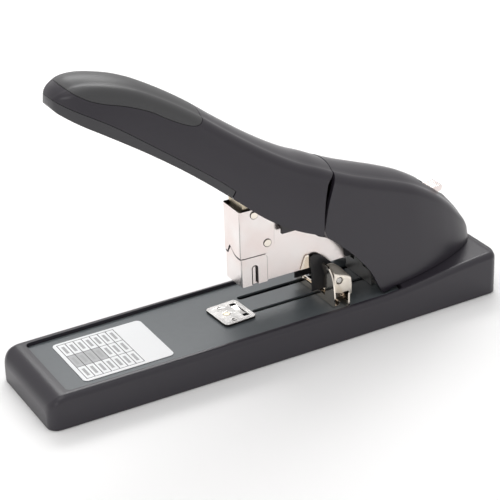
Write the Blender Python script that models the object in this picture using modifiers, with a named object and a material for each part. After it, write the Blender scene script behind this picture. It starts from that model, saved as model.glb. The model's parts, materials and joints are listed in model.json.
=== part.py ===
"""Heavy-duty desktop stapler with a long paper bed, a pressing handle and a sliding paper guide.

Every helper takes millimetres. x runs back from the front end of the base, y across, z up from the table.
The object's own frame has its origin under the middle of the base, so point() takes half the length off x.
"""

import math

import bmesh
import bpy
from mathutils import Matrix, Vector

MM = 0.001
GAP = 0.3  # between neighbouring pieces

# Base
BASE_LENGTH = 290.0
BASE_OVERHANG = 0.4  # of the tray's bulged ends
BASE_HALF_WIDTH = 35.0
TRAY_BOTTOM = 0.3
RIM_TOP = 19.8
DECK_REAR_TOP = 26.6
PLATE_TOP = 17.7
PLATE_THICKNESS = 1.2
PLATE_FRONT = 12.7
PLATE_HALF_WIDTH = 30.4

# Anvil and its rivet, and the front of the driver blade
ANVIL_X = 123.9
ANVIL_Y = -0.6
ANVIL_TOP = 19.2
DRIVE_X = 131.2

# Main hinge, shared by the magazine arm and the handle
PIVOT_X = 246.0
PIVOT_Z = 45.0
PIVOT_RADIUS = 3.0

# Magazine arm
ARM_BOTTOM = 38.0
ARM_OUTER = 8.2
ARM_SHEET = 1.1
HEAD_OUTER = 9.4
HEAD_SHEET = 0.9
HEAD_FRONT = 129.5
COVER_TOP = 85.0
COVER_BOTTOM = 56.0
SLEEVE_FRONT = 130.1
RAIL_FRONT = 132.6
RAIL_REAR = 224.0
STAPLE_HALF_WIDTH = 6.6
STAPLE_TOP = 53.5
PUSHER_ROD_Z = 57.0

# Pin that carries the handle's force into the driver block
DRIVE_PIN_X = 148.5
DRIVE_PIN_Z = 103.0
DRIVE_PIN_RADIUS = 1.8

# Handle levers and bracket cheeks, as distances from the middle plane
LEVER_INNER = 10.5
LEVER_OUTER = 12.3
BRACKET_INNER = 13.6
BRACKET_OUTER = 15.2
SHELL = 2.2

# Paper guide
GUIDE_X = 180.2
SLOT_FRONT = 139.0
SLOT_REAR = 216.0
FAR_SLOT_Y = 14.0
NEAR_SLOT_Y = -4.0
STUD_X = 182.4

SIDE = Matrix(((1, 0, 0), (0, 0, -1), (0, 1, 0)))  # outline (u, v) to (x, z)
FRONT = Matrix(((0, 0, 1), (1, 0, 0), (0, 1, 0)))  # outline (u, v) to (y, z)
FLAT = Matrix.Identity(3)  # outline (u, v) to (x, y)


def clear_scene():
    for old in list(bpy.data.objects):
        bpy.data.objects.remove(old, do_unlink=True)


def collection(name):
    made = bpy.data.collections.new(name)
    bpy.context.scene.collection.children.link(made)
    return made


clear_scene()
PARTS = collection("desktop_stapler")
CUTTERS = collection("cutters")


def material(name, colour, roughness, metallic=0.0):
    made = bpy.data.materials.new(name)
    made.use_nodes = True
    shader = made.node_tree.nodes["Principled BSDF"]
    shader.inputs["Base Color"].default_value = (*colour, 1.0)
    shader.inputs["Roughness"].default_value = roughness
    shader.inputs["Metallic"].default_value = metallic
    return made


BLACK = material("black_plastic", (0.045, 0.045, 0.05), 0.38)
GREY_RUBBER = material("grey_rubber", (0.085, 0.088, 0.09), 0.6)
FOOT_RUBBER = material("foot_rubber", (0.02, 0.02, 0.02), 0.85)
PLATE_PAINT = material("plate_paint", (0.13, 0.15, 0.165), 0.35, 0.3)
NICKEL = material("bright_nickel", (0.83, 0.8, 0.77), 0.2, 1.0)
STEEL = material("plain_steel", (0.5, 0.5, 0.5), 0.35, 1.0)
ZINC = material("yellow_zinc", (0.72, 0.62, 0.45), 0.3, 1.0)
SPRING_STEEL = material("spring_steel", (0.35, 0.35, 0.36), 0.3, 1.0)
LABEL_PAPER = material("label_paper", (0.85, 0.86, 0.87), 0.5)


def point(x, y, z):
    return Vector(((x - BASE_LENGTH / 2) * MM, y * MM, z * MM))


def axis_empty(name, x, z, y=0.0):
    """An empty on a joint's axis, which the pieces of one moving body are parented to."""
    made = bpy.data.objects.new(name, None)
    PARTS.objects.link(made)
    made.location = point(x, y, z)
    bpy.context.view_layer.update()
    return made


def keep(obj, look, parent=None):
    """Puts a finished object among the parts, with its material and its parent."""
    obj.data.materials.clear()
    obj.data.materials.append(look)
    obj.data.shade_smooth()
    obj.data.set_sharp_from_angle(angle=math.radians(35))
    if parent is not None:
        obj.parent = parent
        obj.matrix_parent_inverse = parent.matrix_world.inverted()
    return obj


def new_object(name, mesh, home=None):
    obj = bpy.data.objects.new(name, mesh)
    (home or PARTS).objects.link(obj)
    return obj


def cutter(obj):
    """Moves an object to the cutters, out of the render."""
    for home in list(obj.users_collection):
        home.objects.unlink(obj)
    CUTTERS.objects.link(obj)
    obj.hide_render = True
    obj.display_type = "WIRE"
    return obj


def bevel(obj, width, segments=1, angle=40):
    made = obj.modifiers.new("edges", "BEVEL")
    made.width = width * MM
    made.segments = segments
    made.limit_method = "ANGLE"
    made.angle_limit = math.radians(angle)
    return obj


def boolean(obj, other, operation="DIFFERENCE"):
    made = obj.modifiers.new(operation.lower(), "BOOLEAN")
    made.operation = operation
    made.solver = "EXACT"
    made.object = other
    return obj


def apply_modifiers(obj):
    """Bakes an object's modifiers into its mesh, with doubled points welded."""
    bpy.context.view_layer.update()
    graph = bpy.context.evaluated_depsgraph_get()
    mesh = bpy.data.meshes.new_from_object(obj.evaluated_get(graph))
    obj.modifiers.clear()
    obj.data = mesh
    weld(mesh)
    return obj


def weld(mesh, distance=1e-6):
    edit = bmesh.new()
    edit.from_mesh(mesh)
    bmesh.ops.remove_doubles(edit, verts=edit.verts, dist=distance)
    bmesh.ops.recalc_face_normals(edit, faces=edit.faces)
    edit.to_mesh(mesh)
    edit.free()


def box(name, x, y, z):
    """A block between two planes along each axis."""
    mesh = bpy.data.meshes.new(name)
    edit = bmesh.new()
    bmesh.ops.create_cube(edit, size=1.0)
    size = Vector((x[1] - x[0], y[1] - y[0], z[1] - z[0])) * MM
    centre = point(sum(x) / 2, sum(y) / 2, sum(z) / 2)
    bmesh.ops.transform(edit, matrix=Matrix.LocRotScale(centre, None, size), verts=edit.verts)
    edit.to_mesh(mesh)
    edit.free()
    return new_object(name, mesh)


def cylinder(name, start, end, radius, end_radius=None, sides=24):
    """A round bar from start to end, each (x, y, z)."""
    mesh = bpy.data.meshes.new(name)
    first, last = point(*start), point(*end)
    along = last - first
    edit = bmesh.new()
    bmesh.ops.create_cone(
        edit,
        cap_ends=True,
        segments=sides,
        radius1=radius * MM,
        radius2=(radius if end_radius is None else end_radius) * MM,
        depth=along.length,
    )
    turn = Vector((0, 0, 1)).rotation_difference(along).to_matrix().to_4x4()
    place = Matrix.Translation((first + last) / 2) @ turn
    bmesh.ops.transform(edit, matrix=place, verts=edit.verts)
    edit.to_mesh(mesh)
    edit.free()
    return new_object(name, mesh)


def rounded(corners, steps=4):
    """The outline through corners (u, v, radius), with each corner rounded to its radius by an arc."""
    outline = []
    count = len(corners)
    for i, (u, v, radius) in enumerate(corners):
        here = Vector((u, v))
        if radius <= 0:
            outline.append((u, v))
            continue
        before = (Vector(corners[i - 1][:2]) - here).normalized()
        after = (Vector(corners[(i + 1) % count][:2]) - here).normalized()
        half = before.angle(after) / 2
        centre = here + (before + after).normalized() * radius / math.sin(half)
        start = here + before * radius / math.tan(half) - centre
        end = here + after * radius / math.tan(half) - centre
        sweep = start.angle_signed(end)
        for k in range(steps + 1):
            turned = start.copy()
            turned.rotate(Matrix.Rotation(-sweep * k / steps, 2))
            outline.append(tuple(centre + turned))
    return outline


def circle(u, v, radius, sides=16):
    """The outline of a round hole."""
    angles = [2 * math.pi * k / sides for k in range(sides)]
    return [(u + radius * math.cos(a), v + radius * math.sin(a)) for a in angles]


def slab(name, plane, outlines, low, high):
    """A flat piece: outlines in a plane, the first outside and the others its holes, between two depths."""
    curve = bpy.data.curves.new(name, "CURVE")
    curve.dimensions = "2D"
    curve.fill_mode = "BOTH"
    curve.extrude = (high - low) / 2 * MM
    for outline in outlines:
        spline = curve.splines.new("POLY")
        spline.points.add(len(outline) - 1)
        spline.use_cyclic_u = True
        for spot, (u, v) in zip(spline.points, outline):
            spot.co = (u * MM, v * MM, 0, 1)
    shape = new_object(name + "_outline", curve)
    middle = (low + high) / 2
    centre = {0: (0, -middle, 0), 1: (middle, 0, 0), 2: (0, 0, middle)}
    kind = 0 if plane is SIDE else 1 if plane is FRONT else 2
    offset = Vector(centre[kind]) * MM
    if kind == 0:
        offset = Vector((0, middle, 0)) * MM
    if plane is not FRONT:
        offset.x -= BASE_LENGTH / 2 * MM
    else:
        offset.x -= BASE_LENGTH / 2 * MM
    shape.matrix_world = Matrix.Translation(offset) @ plane.to_4x4()
    bpy.context.view_layer.update()
    graph = bpy.context.evaluated_depsgraph_get()
    mesh = bpy.data.meshes.new_from_object(shape.evaluated_get(graph))
    mesh.transform(shape.matrix_world)
    mesh.name = name
    bpy.data.objects.remove(shape)
    weld(mesh)
    return new_object(name, mesh)


def loft(name, rings, closed_rings=False, cap_first=False, cap_last=False):
    """A skin over rings of points, one ring after another."""
    mesh = bpy.data.meshes.new(name)
    edit = bmesh.new()
    rows = [[edit.verts.new(point(*spot)) for spot in ring] for ring in rings]
    count = len(rows[0])
    spans = count if closed_rings else count - 1
    for row, following in zip(rows, rows[1:]):
        for i in range(spans):
            j = (i + 1) % count
            edit.faces.new((row[i], following[i], following[j], row[j]))
    if cap_first:
        edit.faces.new(rows[0])
    if cap_last:
        edit.faces.new(list(reversed(rows[-1])))
    edit.to_mesh(mesh)
    edit.free()
    return new_object(name, mesh)


def shell(obj, thickness, offset=-1.0):
    made = obj.modifiers.new("wall", "SOLIDIFY")
    made.thickness = thickness * MM
    made.offset = offset
    made.use_even_offset = True
    return obj


def coil(name, centre, radius, wire, low, high, turns, axis="Z"):
    """A compression spring of round wire, with its turns worked out from its free length."""
    curve = bpy.data.curves.new(name, "CURVE")
    curve.dimensions = "3D"
    curve.bevel_depth = wire / 2 * MM
    curve.bevel_resolution = 1
    curve.use_fill_caps = True
    per_turn = 12
    count = int(turns * per_turn) + 1
    spline = curve.splines.new("POLY")
    spline.points.add(count - 1)
    first, last = low + wire / 2, high - wire / 2
    for k, spot in enumerate(spline.points):
        angle = 2 * math.pi * k / per_turn
        along = first + (last - first) * k / (count - 1)
        across = (radius * math.cos(angle), radius * math.sin(angle))
        if axis == "Z":
            place = point(centre[0] + across[0], centre[1] + across[1], along)
        else:
            place = point(along, centre[0] + across[0], centre[1] + across[1])
        spot.co = (*place, 1)
    shape = new_object(name + "_path", curve)
    bpy.context.view_layer.update()
    graph = bpy.context.evaluated_depsgraph_get()
    mesh = bpy.data.meshes.new_from_object(shape.evaluated_get(graph))
    bpy.data.objects.remove(shape)
    weld(mesh)
    return new_object(name, mesh)


def smooth(values, steps):
    """Catmull-Rom points through tuples of numbers, with steps spans between each two."""
    padded = [values[0], *values, values[-1]]
    made = []
    for a, b, c, d in zip(padded, padded[1:], padded[2:], padded[3:]):
        for k in range(steps):
            t = k / steps
            made.append(
                tuple(
                    0.5 * (2 * q + (r - p) * t + (2 * p - 5 * q + 4 * r - s) * t * t + (3 * q - p - 3 * r + s) * t**3)
                    for p, q, r, s in zip(a, b, c, d)
                )
            )
    return made + [tuple(values[-1])]


def ramp(x, start, end):
    """0 before start, 1 after end, and a smooth rise between."""
    t = min(max((x - start) / (end - start), 0.0), 1.0)
    return t * t * (3 - 2 * t)


# ---------------------------------------------------------------- base


def deck_top(x):
    """Height of the rim along the base: level beside the paper bed, rising under the rear housing."""
    return RIM_TOP + (DECK_REAR_TOP - RIM_TOP) * ramp(x, 205, 292)


def base_half_width(x):
    """Half width of the base: slightly bulged sides and round corners."""
    bulge = BASE_HALF_WIDTH - 1.0 + 1.0 * math.sin(math.pi * min(max(x, 0), 300) / 300) ** 0.8
    corner = 6.0
    from_end = min(x, BASE_LENGTH - x)
    if from_end >= corner:
        return bulge
    return bulge - corner + math.sqrt(max(corner**2 - (corner - from_end) ** 2, 0))


def base_front_drop(x):
    """How far the round front edge lies below the rim."""
    reach = 11.0
    if x >= reach:
        return 0.0
    return 9.5 * (1 - math.sqrt(max(1 - ((reach - x) / reach) ** 2, 0)))


def make_base_tray():
    """Moulded tray: lofted from cross-sections, with the bed recess and the underside cut out."""
    stations = [0.0, 0.4, 1.2, 2.4, 4.0, 6.0, 8.0, 11.0, 16, 60, 105, 150, 195, 215, 235, 255, 270]
    stations += [280, 284, 286, 287.6, 288.8, 289.6, 290.0]
    rings = []
    for x in stations:
        half = base_half_width(x)
        top = deck_top(x) - base_front_drop(x) - 0.8 * ramp(x, 286, 290)
        roll = 3.2
        profile = [(half - 0.4, TRAY_BOTTOM), (half, TRAY_BOTTOM + 1.0), (half - 0.2, top - roll)]
        profile += [(half - 0.9, top - 1.3), (half - 2.4, top - 0.3), (half - 4.2, top)]
        stretched = x * (1 + 2 * BASE_OVERHANG / BASE_LENGTH) - BASE_OVERHANG
        ring = [(stretched, y, z) for y, z in profile]
        rings.append(ring + [(x, -y, z) for x, y, z in reversed(ring)])
    tray = loft("base_tray", rings, closed_rings=True, cap_first=True, cap_last=True)
    weld(tray.data)
    bed = [
        (PLATE_FRONT - GAP, -PLATE_HALF_WIDTH + 1.6, 3),
        (120, -PLATE_HALF_WIDTH - GAP, 0),
        (224, -PLATE_HALF_WIDTH - GAP, 2),
        (226, -21, 2),
        (269, -18, 3),
        (269, 18, 3),
        (226, 21, 2),
        (224, PLATE_HALF_WIDTH + GAP, 2),
        (120, PLATE_HALF_WIDTH + GAP, 0),
        (PLATE_FRONT - GAP, PLATE_HALF_WIDTH - 1.6, 3),
    ]
    floor = PLATE_TOP - PLATE_THICKNESS - GAP
    boolean(tray, cutter(slab("bed_cutter", FLAT, [rounded(bed)], floor, 40)))
    underside = [(3.5, -29.5, 8), (150, -31.5, 0), (286, -29.5, 8), (286, 29.5, 8), (150, 31.5, 0), (3.5, 29.5, 8)]
    boolean(tray, cutter(slab("underside_cutter", FLAT, [rounded(underside)], -1, floor - 2.6)))
    window = [(SLOT_FRONT - 3, -12, 2), (SLOT_REAR + 1, -12, 2), (SLOT_REAR + 1, 21, 2), (SLOT_FRONT - 3, 21, 2)]
    boolean(tray, cutter(slab("keeper_window_cutter", FLAT, [rounded(window)], 8, 30)))
    boolean(tray, cutter(cylinder("anvil_rivet_well_cutter", (ANVIL_X, ANVIL_Y, 8), (ANVIL_X, ANVIL_Y, 30), 4.2)))
    apply_modifiers(tray)
    return keep(tray, BLACK)


def make_bottom_cover():
    """Flat cover that closes the underside of the tray, with its four screws and four rubber feet."""
    outline = [(5, -28, 8), (150, -30, 0), (284.5, -28, 8), (284.5, 28, 8), (150, 30, 0), (5, 28, 8)]
    corners = [(22, -20, "front_left"), (22, 20, "front_right"), (268, -20, "rear_left"), (268, 20, "rear_right")]
    holes = [circle(x, y * 1.0, 2.0, 16) for x, y, _ in corners]
    keep(slab("bottom_cover", FLAT, [rounded(outline), *holes], 2.6, 4.0), STEEL)
    for x, y, where in corners:
        screw = cylinder("cover_screw_" + where, (x, y, 1.9), (x, y, 12.0), 1.5, sides=14)
        head = cutter(cylinder("cover_screw_head_" + where, (x, y, 1.2), (x, y, 2.3), 3.2, sides=18))
        boolean(screw, head, "UNION")
        keep(apply_modifiers(screw), ZINC)
        inward = 12 if x < 150 else -12
        foot = cylinder("foot_" + where, (x + inward, y, 0), (x + inward, y, 2.3), 5.6, 6.2, 28)
        keep(foot, FOOT_RUBBER)


def make_base_plate():
    """Painted steel bed with the two guide slots and the anvil's rivet hole."""
    outline = [
        (PLATE_FRONT, -PLATE_HALF_WIDTH + 1.9, 3),
        (120, -PLATE_HALF_WIDTH, 0),
        (223.5, -PLATE_HALF_WIDTH, 2),
        (225.5, -20.7, 2),
        (268.6, -17.7, 3),
        (268.6, 17.7, 3),
        (225.5, 20.7, 2),
        (223.5, PLATE_HALF_WIDTH, 2),
        (120, PLATE_HALF_WIDTH, 0),
        (PLATE_FRONT, PLATE_HALF_WIDTH - 1.9, 3),
    ]
    slots = [guide_slot(FAR_SLOT_Y, 2.0), guide_slot(NEAR_SLOT_Y, 1.6)]
    rivet_hole = circle(ANVIL_X, ANVIL_Y, 2.6, 20)
    low = PLATE_TOP - PLATE_THICKNESS
    plate = slab("base_plate", FLAT, [rounded(outline), *slots, rivet_hole], low, PLATE_TOP)
    return keep(plate, PLATE_PAINT)


def guide_slot(y, half):
    corners = [(SLOT_FRONT, y - half), (SLOT_REAR, y - half), (SLOT_REAR, y + half), (SLOT_FRONT, y + half)]
    return rounded([(u, v, half * 0.98) for u, v in corners], 3)


def make_label():
    """Thin rectangular sticker near the front of the bed."""
    outline = rounded([(25.2, -23, 3), (79.5, -23, 3), (79.5, 22, 3), (25.2, 22, 3)])
    return keep(slab("label", FLAT, [outline], PLATE_TOP + GAP, PLATE_TOP + GAP + 0.3), LABEL_PAPER)


def make_anvil(parent):
    """Turning anvil on its rivet, with a scooped clinching groove and a pair of pinning pockets."""
    low, high = PLATE_TOP + GAP, ANVIL_TOP
    x, y = ANVIL_X, ANVIL_Y
    outline = rounded([(x - 7.2, y - 11.5, 2.5), (x + 13.2, y - 11.5, 2.5), (x + 13.2, y + 11.9, 2.5), (x - 7.2, y + 11.9, 2.5)])
    anvil = slab("anvil", FLAT, [outline, circle(x, y, 2.2, 20)], low, high)
    groove = (x + 6.7, x + 10.4)
    for side in (-1, 1):
        middle = y + 0.2 + side * 6.9
        pocket = box("clinch_pocket_cutter", groove, (middle - 1.4, middle + 1.4), (low - 1, high + 1))
        boolean(anvil, cutter(pocket))
        arc = [math.radians(60 + 30 * k) for k in range(9)]
        nib = [(x + 0.4 + 1.5 * math.cos(t), y + side * 8.0 + 1.5 * math.sin(t)) for t in arc]
        nib += [(x + 0.4 + 0.8 * math.cos(t), y + side * 8.0 + 0.8 * math.sin(t)) for t in reversed(arc)]
        boolean(anvil, cutter(slab("pinning_pocket_cutter", FLAT, [nib], low - 1, high + 1)))
    centre = high + 28.0 - 0.5
    scoop = cylinder("clinch_scoop_cutter", (groove[0], y + 0.2, centre), (groove[1], y + 0.2, centre), 28.0, sides=96)
    boolean(anvil, cutter(scoop))
    apply_modifiers(anvil)
    rivet = cylinder("anvil_rivet", (x, y, 11.2), (x, y, high + 0.15), 1.9, sides=20)
    foot = cutter(cylinder("anvil_rivet_foot", (x, y, 11.2), (x, y, 12.4), 3.8, sides=20))
    boolean(rivet, foot, "UNION")
    apply_modifiers(rivet)
    turn = Matrix.Translation(point(x, y, 0)) @ Matrix.Rotation(math.radians(3.5), 4, "Z")
    turn = turn @ Matrix.Translation(-point(x, y, 0))
    for obj, look in ((anvil, NICKEL), (rivet, ZINC)):
        obj.data.transform(turn)
        keep(obj, look, parent)


# ---------------------------------------------------------------- pivot bracket


def make_bracket():
    """Steel bracket riveted to the base: floor, notched front lip and two cheeks for the main pin."""
    low = PLATE_TOP + GAP
    top = low + 1.8
    cheek = [
        (216, low, 0),
        (262, low, 2),
        (254, PIVOT_Z + 7, 6),
        (238, PIVOT_Z + 7, 6),
        (230, 28, 4),
        (216, 24, 2),
    ]
    hole = circle(PIVOT_X, PIVOT_Z, PIVOT_RADIUS + GAP, 20)
    bracket = box("pivot_bracket", (213.2, 262), (-BRACKET_INNER - 0.4, BRACKET_INNER + 0.4), (low, top))
    for side in (-1, 1):
        near, far = sorted((side * BRACKET_INNER, side * BRACKET_OUTER))
        wall = slab("bracket_cheek", SIDE, [rounded(cheek), hole], near, far)
        boolean(bracket, cutter(wall), "UNION")
    lip = [(-13.4, low), (13.4, low), (13.4, 27.5), (9.5, 28.8), (9.5, 26.6), (4.5, 26.6), (4.5, 28.8)]
    lip += [(-4.5, 28.8), (-4.5, 26.6), (-9.5, 26.6), (-9.5, 28.8), (-13.4, 27.5)]
    boolean(bracket, cutter(slab("bracket_lip", FRONT, [lip], 213.2, 215.0)), "UNION")
    bolts = [(222, -9.6), (222, 9.6), (254, -9.6), (254, 9.6)]
    for x, y in bolts:
        boolean(bracket, cutter(cylinder("bracket_bolt_hole", (x, y, 10), (x, y, 30), 2.3, sides=16)))
    keep(apply_modifiers(bracket), STEEL)
    for number, (x, y) in enumerate(bolts, 1):
        rivet = cylinder(f"bracket_rivet_{number}", (x, y, top - 1.2), (x, y, top + GAP + 0.1), 2.0, sides=14)
        head = cutter(cylinder("bracket_rivet_head", (x, y, top + GAP), (x, y, top + 1.5), 3.4, 2.4, sides=18))
        boolean(rivet, head, "UNION")
        keep(apply_modifiers(rivet), STEEL)


def make_pivot_pin():
    """Main pin through the bracket, the handle levers and the magazine arm, with a clip at each end."""
    half = BRACKET_OUTER + 1.8
    ends = ((PIVOT_X, -half, PIVOT_Z), (PIVOT_X, half, PIVOT_Z))
    keep(cylinder("pivot_pin", *ends, PIVOT_RADIUS, sides=20), STEEL)
    for side, name in ((-1, "left"), (1, "right")):
        start, end = side * (BRACKET_OUTER + 0.3), side * (BRACKET_OUTER + 1.1)
        ring = [circle(PIVOT_X, PIVOT_Z, 5.4, 20), circle(PIVOT_X, PIVOT_Z, PIVOT_RADIUS + 0.2, 20)]
        keep(slab("pivot_clip_" + name, SIDE, ring, *sorted((start, end))), SPRING_STEEL)


def make_arm_spring():
    """Compression spring that lifts the magazine arm off the bed."""
    spring = coil("arm_return_spring", (226, 0), 5.6, 1.3, PLATE_TOP + GAP + 1.8 + GAP, 35.9, 5)
    return keep(spring, SPRING_STEEL)


# ---------------------------------------------------------------- rear housing


def arch(half_bottom, half_top, height, corner, crown):
    """Half-round-topped cross-section as (y, h) from one foot over the top to the other."""
    side_top = height - crown - corner
    near = [(half_bottom, 0.0)]
    for share in (0.35, 0.7, 1.0):
        bow = 0.5 * math.sin(math.pi * share) * min(1.0, height / 30)
        near.append((half_bottom + (half_top - half_bottom) * share + bow, side_top * share))
    for k in (1, 2, 3):
        angle = math.radians(90) * k / 4
        near.append((half_top - corner * (1 - math.cos(angle)), side_top + corner * math.sin(angle)))
    inner = half_top - corner
    for share in (1.0, 0.6, 0.25):
        near.append((inner * share, height - crown * share**2))
    far = [(y, h) for y, h in reversed(near)]
    return [(-y, h) for y, h in near] + [(0.0, height)] + far


HOUSING_FOOT = 14.0
HOUSING_STATIONS = [
    # x, half width at the foot, half width at the shoulder, height of the crest
    (172.0, 26.4, 21.0, 108.2),
    (186.0, 26.8, 21.0, 101.6),
    (200.0, 27.0, 21.0, 95.3),
    (214.0, 27.2, 20.6, 89.9),
    (228.0, 27.0, 20.0, 84.6),
    (242.0, 26.4, 19.2, 78.4),
    (256.0, 24.6, 17.4, 69.8),
    (267.0, 21.8, 15.2, 61.3),
    (276.0, 18.6, 12.6, 52.0),
    (283.0, 14.4, 9.4, 43.0),
    (287.2, 9.4, 6.0, 35.4),
    (289.0, 4.6, 2.8, 29.4),
]


def housing_surface(name):
    rings = []
    for x, foot, shoulder, crest in smooth(HOUSING_STATIONS, 2):
        height = crest - HOUSING_FOOT
        corner = min(7.0, shoulder * 0.45, height * 0.35)
        crown = min(3.0, height * 0.08)
        section = arch(foot, shoulder, height, corner, crown)
        rings.append([(x, y, HOUSING_FOOT + h) for y, h in section])
    return loft(name, rings, cap_last=True)


def housing_outline(margin):
    """Side view of the housing: curved front edge, arched mouth and a foot that follows the deck."""
    foot = [(x, deck_top(x) + margin) for x in (226, 240, 254, 268, 280, 295)]
    front = [(200, 120), (191.8, 102), (189.4, 100.6), (187.4, 98.9), (185.2, 96), (183.4, 91.6), (179.5, 80.9), (177.2, 71.6), (176, 67.2)]
    mouth = [(177.7, 62.4), (184.3, 57), (192.3, 49.6), (200.3, 40.9), (206.5, 32), (210.2, 24), (213.5, 18.4)]
    return front + mouth + foot + [(295, 120)]


def make_housing():
    """Domed rear cover, open at the front and underneath, with a slot for the release lever."""
    skin = shell(housing_surface("rear_housing"), SHELL)
    outline = housing_outline(GAP)
    boolean(skin, cutter(slab("housing_trim", SIDE, [outline], -40, 40)), "INTERSECT")
    slot = cutter(box("release_slot_cutter", (252.5, 276), (-5.6, 5.6), (56.4, 80)))
    boolean(skin, slot)
    apply_modifiers(skin)
    keep(skin, BLACK)
    for side, name in ((-1, "left"), (1, "right")):
        y = side * 21.5
        boss = cylinder("housing_screw_" + name, (236, y, 4.4), (236, y, 13.0), 1.6, sides=14)
        keep(boss, ZINC)


# ---------------------------------------------------------------- magazine arm


def make_arm(parent):
    """Folded steel arm: two cheeks from the head to the main pin, joined by a web."""
    cheek = [
        (131.6, ARM_BOTTOM, 0),
        (238, ARM_BOTTOM, 6),
        (242, PIVOT_Z - 8, 3),
        (254, PIVOT_Z - 8, 7.5),
        (254, PIVOT_Z + 8, 7.5),
        (236, 61, 6),
        (182, 67, 8),
        (164, 78, 4),
        (151.7, 79.5, 2),
        (151.7, 67.5, 2),
        (131.6, 67.5, 2),
    ]
    hole = circle(PIVOT_X, PIVOT_Z, PIVOT_RADIUS + GAP, 20)
    head_hole = circle(HEAD_PIN_X, HEAD_PIN_Z, 1.5 + GAP, 14)
    inner, outer = ARM_OUTER - ARM_SHEET, ARM_OUTER
    arm = slab("magazine_arm", SIDE, [rounded(cheek), hole, head_hole], -outer, -inner)
    far = slab("arm_far_cheek", SIDE, [rounded(cheek), hole, head_hole], inner, outer)
    boolean(arm, cutter(far), "UNION")
    web = box("arm_web", (160, 208), (-inner - 0.5, inner + 0.5), (62.6, 63.8))
    boolean(arm, cutter(web), "UNION")
    keep(apply_modifiers(arm), NICKEL, parent)


def channel(name, front, rear, low, high, outer, sheet):
    """A sheet channel round the head, open at the back: one front wall and two side walls."""
    outline = [(front, -outer, 1.2), (rear, -outer, 0), (rear, -outer + sheet, 0), (front + sheet, -outer + sheet, 0.4)]
    outline += [(x, -y, r) for x, y, r in reversed(outline)]
    return slab(name, FLAT, [rounded(outline, 3)], low, high)


HEAD_PIN_X, HEAD_PIN_Z = 146.8, 62.1
UPPER_PIN_X, UPPER_PIN_Z = 138.8, 81.4
# Edge between the sleeve and the cover across the front of the head, as (y, z)
FRONT_SEAM = [(8.4, 56.0), (6.8, 55.5), (5.6, 55.7), (4.0, 58.7), (3.0, 59.9), (2.0, 59.8), (-0.4, 57.8), (-2.6, 56.6)]
FRONT_SEAM += [(-5.5, 56.0), (-8.4, 56.0)]


def make_head_cover(parent):
    """Bright upper cover of the head, cut along an S-shaped line at the front, and its two pins."""
    outer = HEAD_OUTER + 0.2
    cover = channel("head_cover", HEAD_FRONT, 151.2, 50, COVER_TOP, outer, 1.1)
    side = [
        (120, COVER_TOP, 0),
        (120, 50, 0),
        (131.4, 50, 0),
        (131.4, COVER_BOTTOM, 0),
        (151.2, COVER_BOTTOM - 0.3, 4.5),
        (151.2, 82, 2),
        (139, COVER_TOP - 0.4, 0),
    ]
    boolean(cover, cutter(slab("head_cover_side_trim", SIDE, [rounded(side)], -20, 20)), "INTERSECT")
    below = [(12, 45), (12, COVER_BOTTOM - 0.1)] + [(y, z + 0.25) for y, z in FRONT_SEAM]
    below += [(-12, COVER_BOTTOM - 0.1), (-12, 45)]
    boolean(cover, cutter(slab("head_cover_seam_cutter", FRONT, [below], 120, 131.45)))
    for x, z in ((HEAD_PIN_X, HEAD_PIN_Z), (UPPER_PIN_X, UPPER_PIN_Z)):
        boolean(cover, cutter(cylinder("head_pin_way_cutter", (x, -20, z), (x, 20, z), 1.5 + GAP, sides=14)))
    keep(apply_modifiers(cover), NICKEL, parent)
    for name, x, z in (("lower", HEAD_PIN_X, HEAD_PIN_Z), ("upper", UPPER_PIN_X, UPPER_PIN_Z)):
        pin = cylinder("head_pin_" + name, (x, -outer - 0.7, z), (x, outer + 0.7, z), 1.5, sides=14)
        for side_sign in (-1, 1):
            start, end = side_sign * (outer + 0.2), side_sign * (outer + 0.75)
            head = cutter(cylinder(f"head_pin_{name}_head", (x, start, z), (x, end, z), 2.5, 2.3, 20))
            boolean(pin, head, "UNION")
        keep(apply_modifiers(pin), NICKEL, parent)


def make_driver(parent):
    """Driver block with the slot for the handle's pin, and the blade on its front."""
    top = DRIVE_PIN_Z + 4.4
    profile = [(132.5, 72), (137.1, 72), (137.1, 99.2), (152, 99.2), (152, top), (132.5, top)]
    reach = DRIVE_PIN_RADIUS + 0.45
    slot = [
        (140.4 - reach, DRIVE_PIN_Z - reach, reach * 0.95),
        (DRIVE_PIN_X + reach, DRIVE_PIN_Z - reach, reach * 0.95),
        (DRIVE_PIN_X + reach, DRIVE_PIN_Z + reach, reach * 0.95),
        (140.4 - reach, DRIVE_PIN_Z + reach, reach * 0.95),
    ]
    block = slab("driver_block", SIDE, [profile, rounded(slot)], -STAPLE_HALF_WIDTH, STAPLE_HALF_WIDTH)
    crown = slab("driver_crown", SIDE, [[(132.5, 85.4), (137.1, 85.4), (137.1, 98.4), (132.5, 98.4)]], -7.8, 7.8)
    boolean(block, cutter(crown), "UNION")
    keep(apply_modifiers(block), ZINC, parent)
    blade = box("driver_blade", (DRIVE_X, DRIVE_X + 1.0), (-6.4, 6.4), (54.4, 83.4))
    keep(blade, STEEL, parent)


def make_spring_shelf(parent):
    """Cross plate between the arm's cheeks, and the driver's return spring that stands on it."""
    width = ARM_OUTER - ARM_SHEET - GAP
    keep(box("driver_spring_shelf", (141, 151), (-width, width), (65.0, 66.2)), STEEL, parent)
    spring = coil("driver_spring", (146.2, 0), 3.6, 0.8, 66.5, 98.9, 7)
    return keep(spring, SPRING_STEEL, parent)


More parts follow.
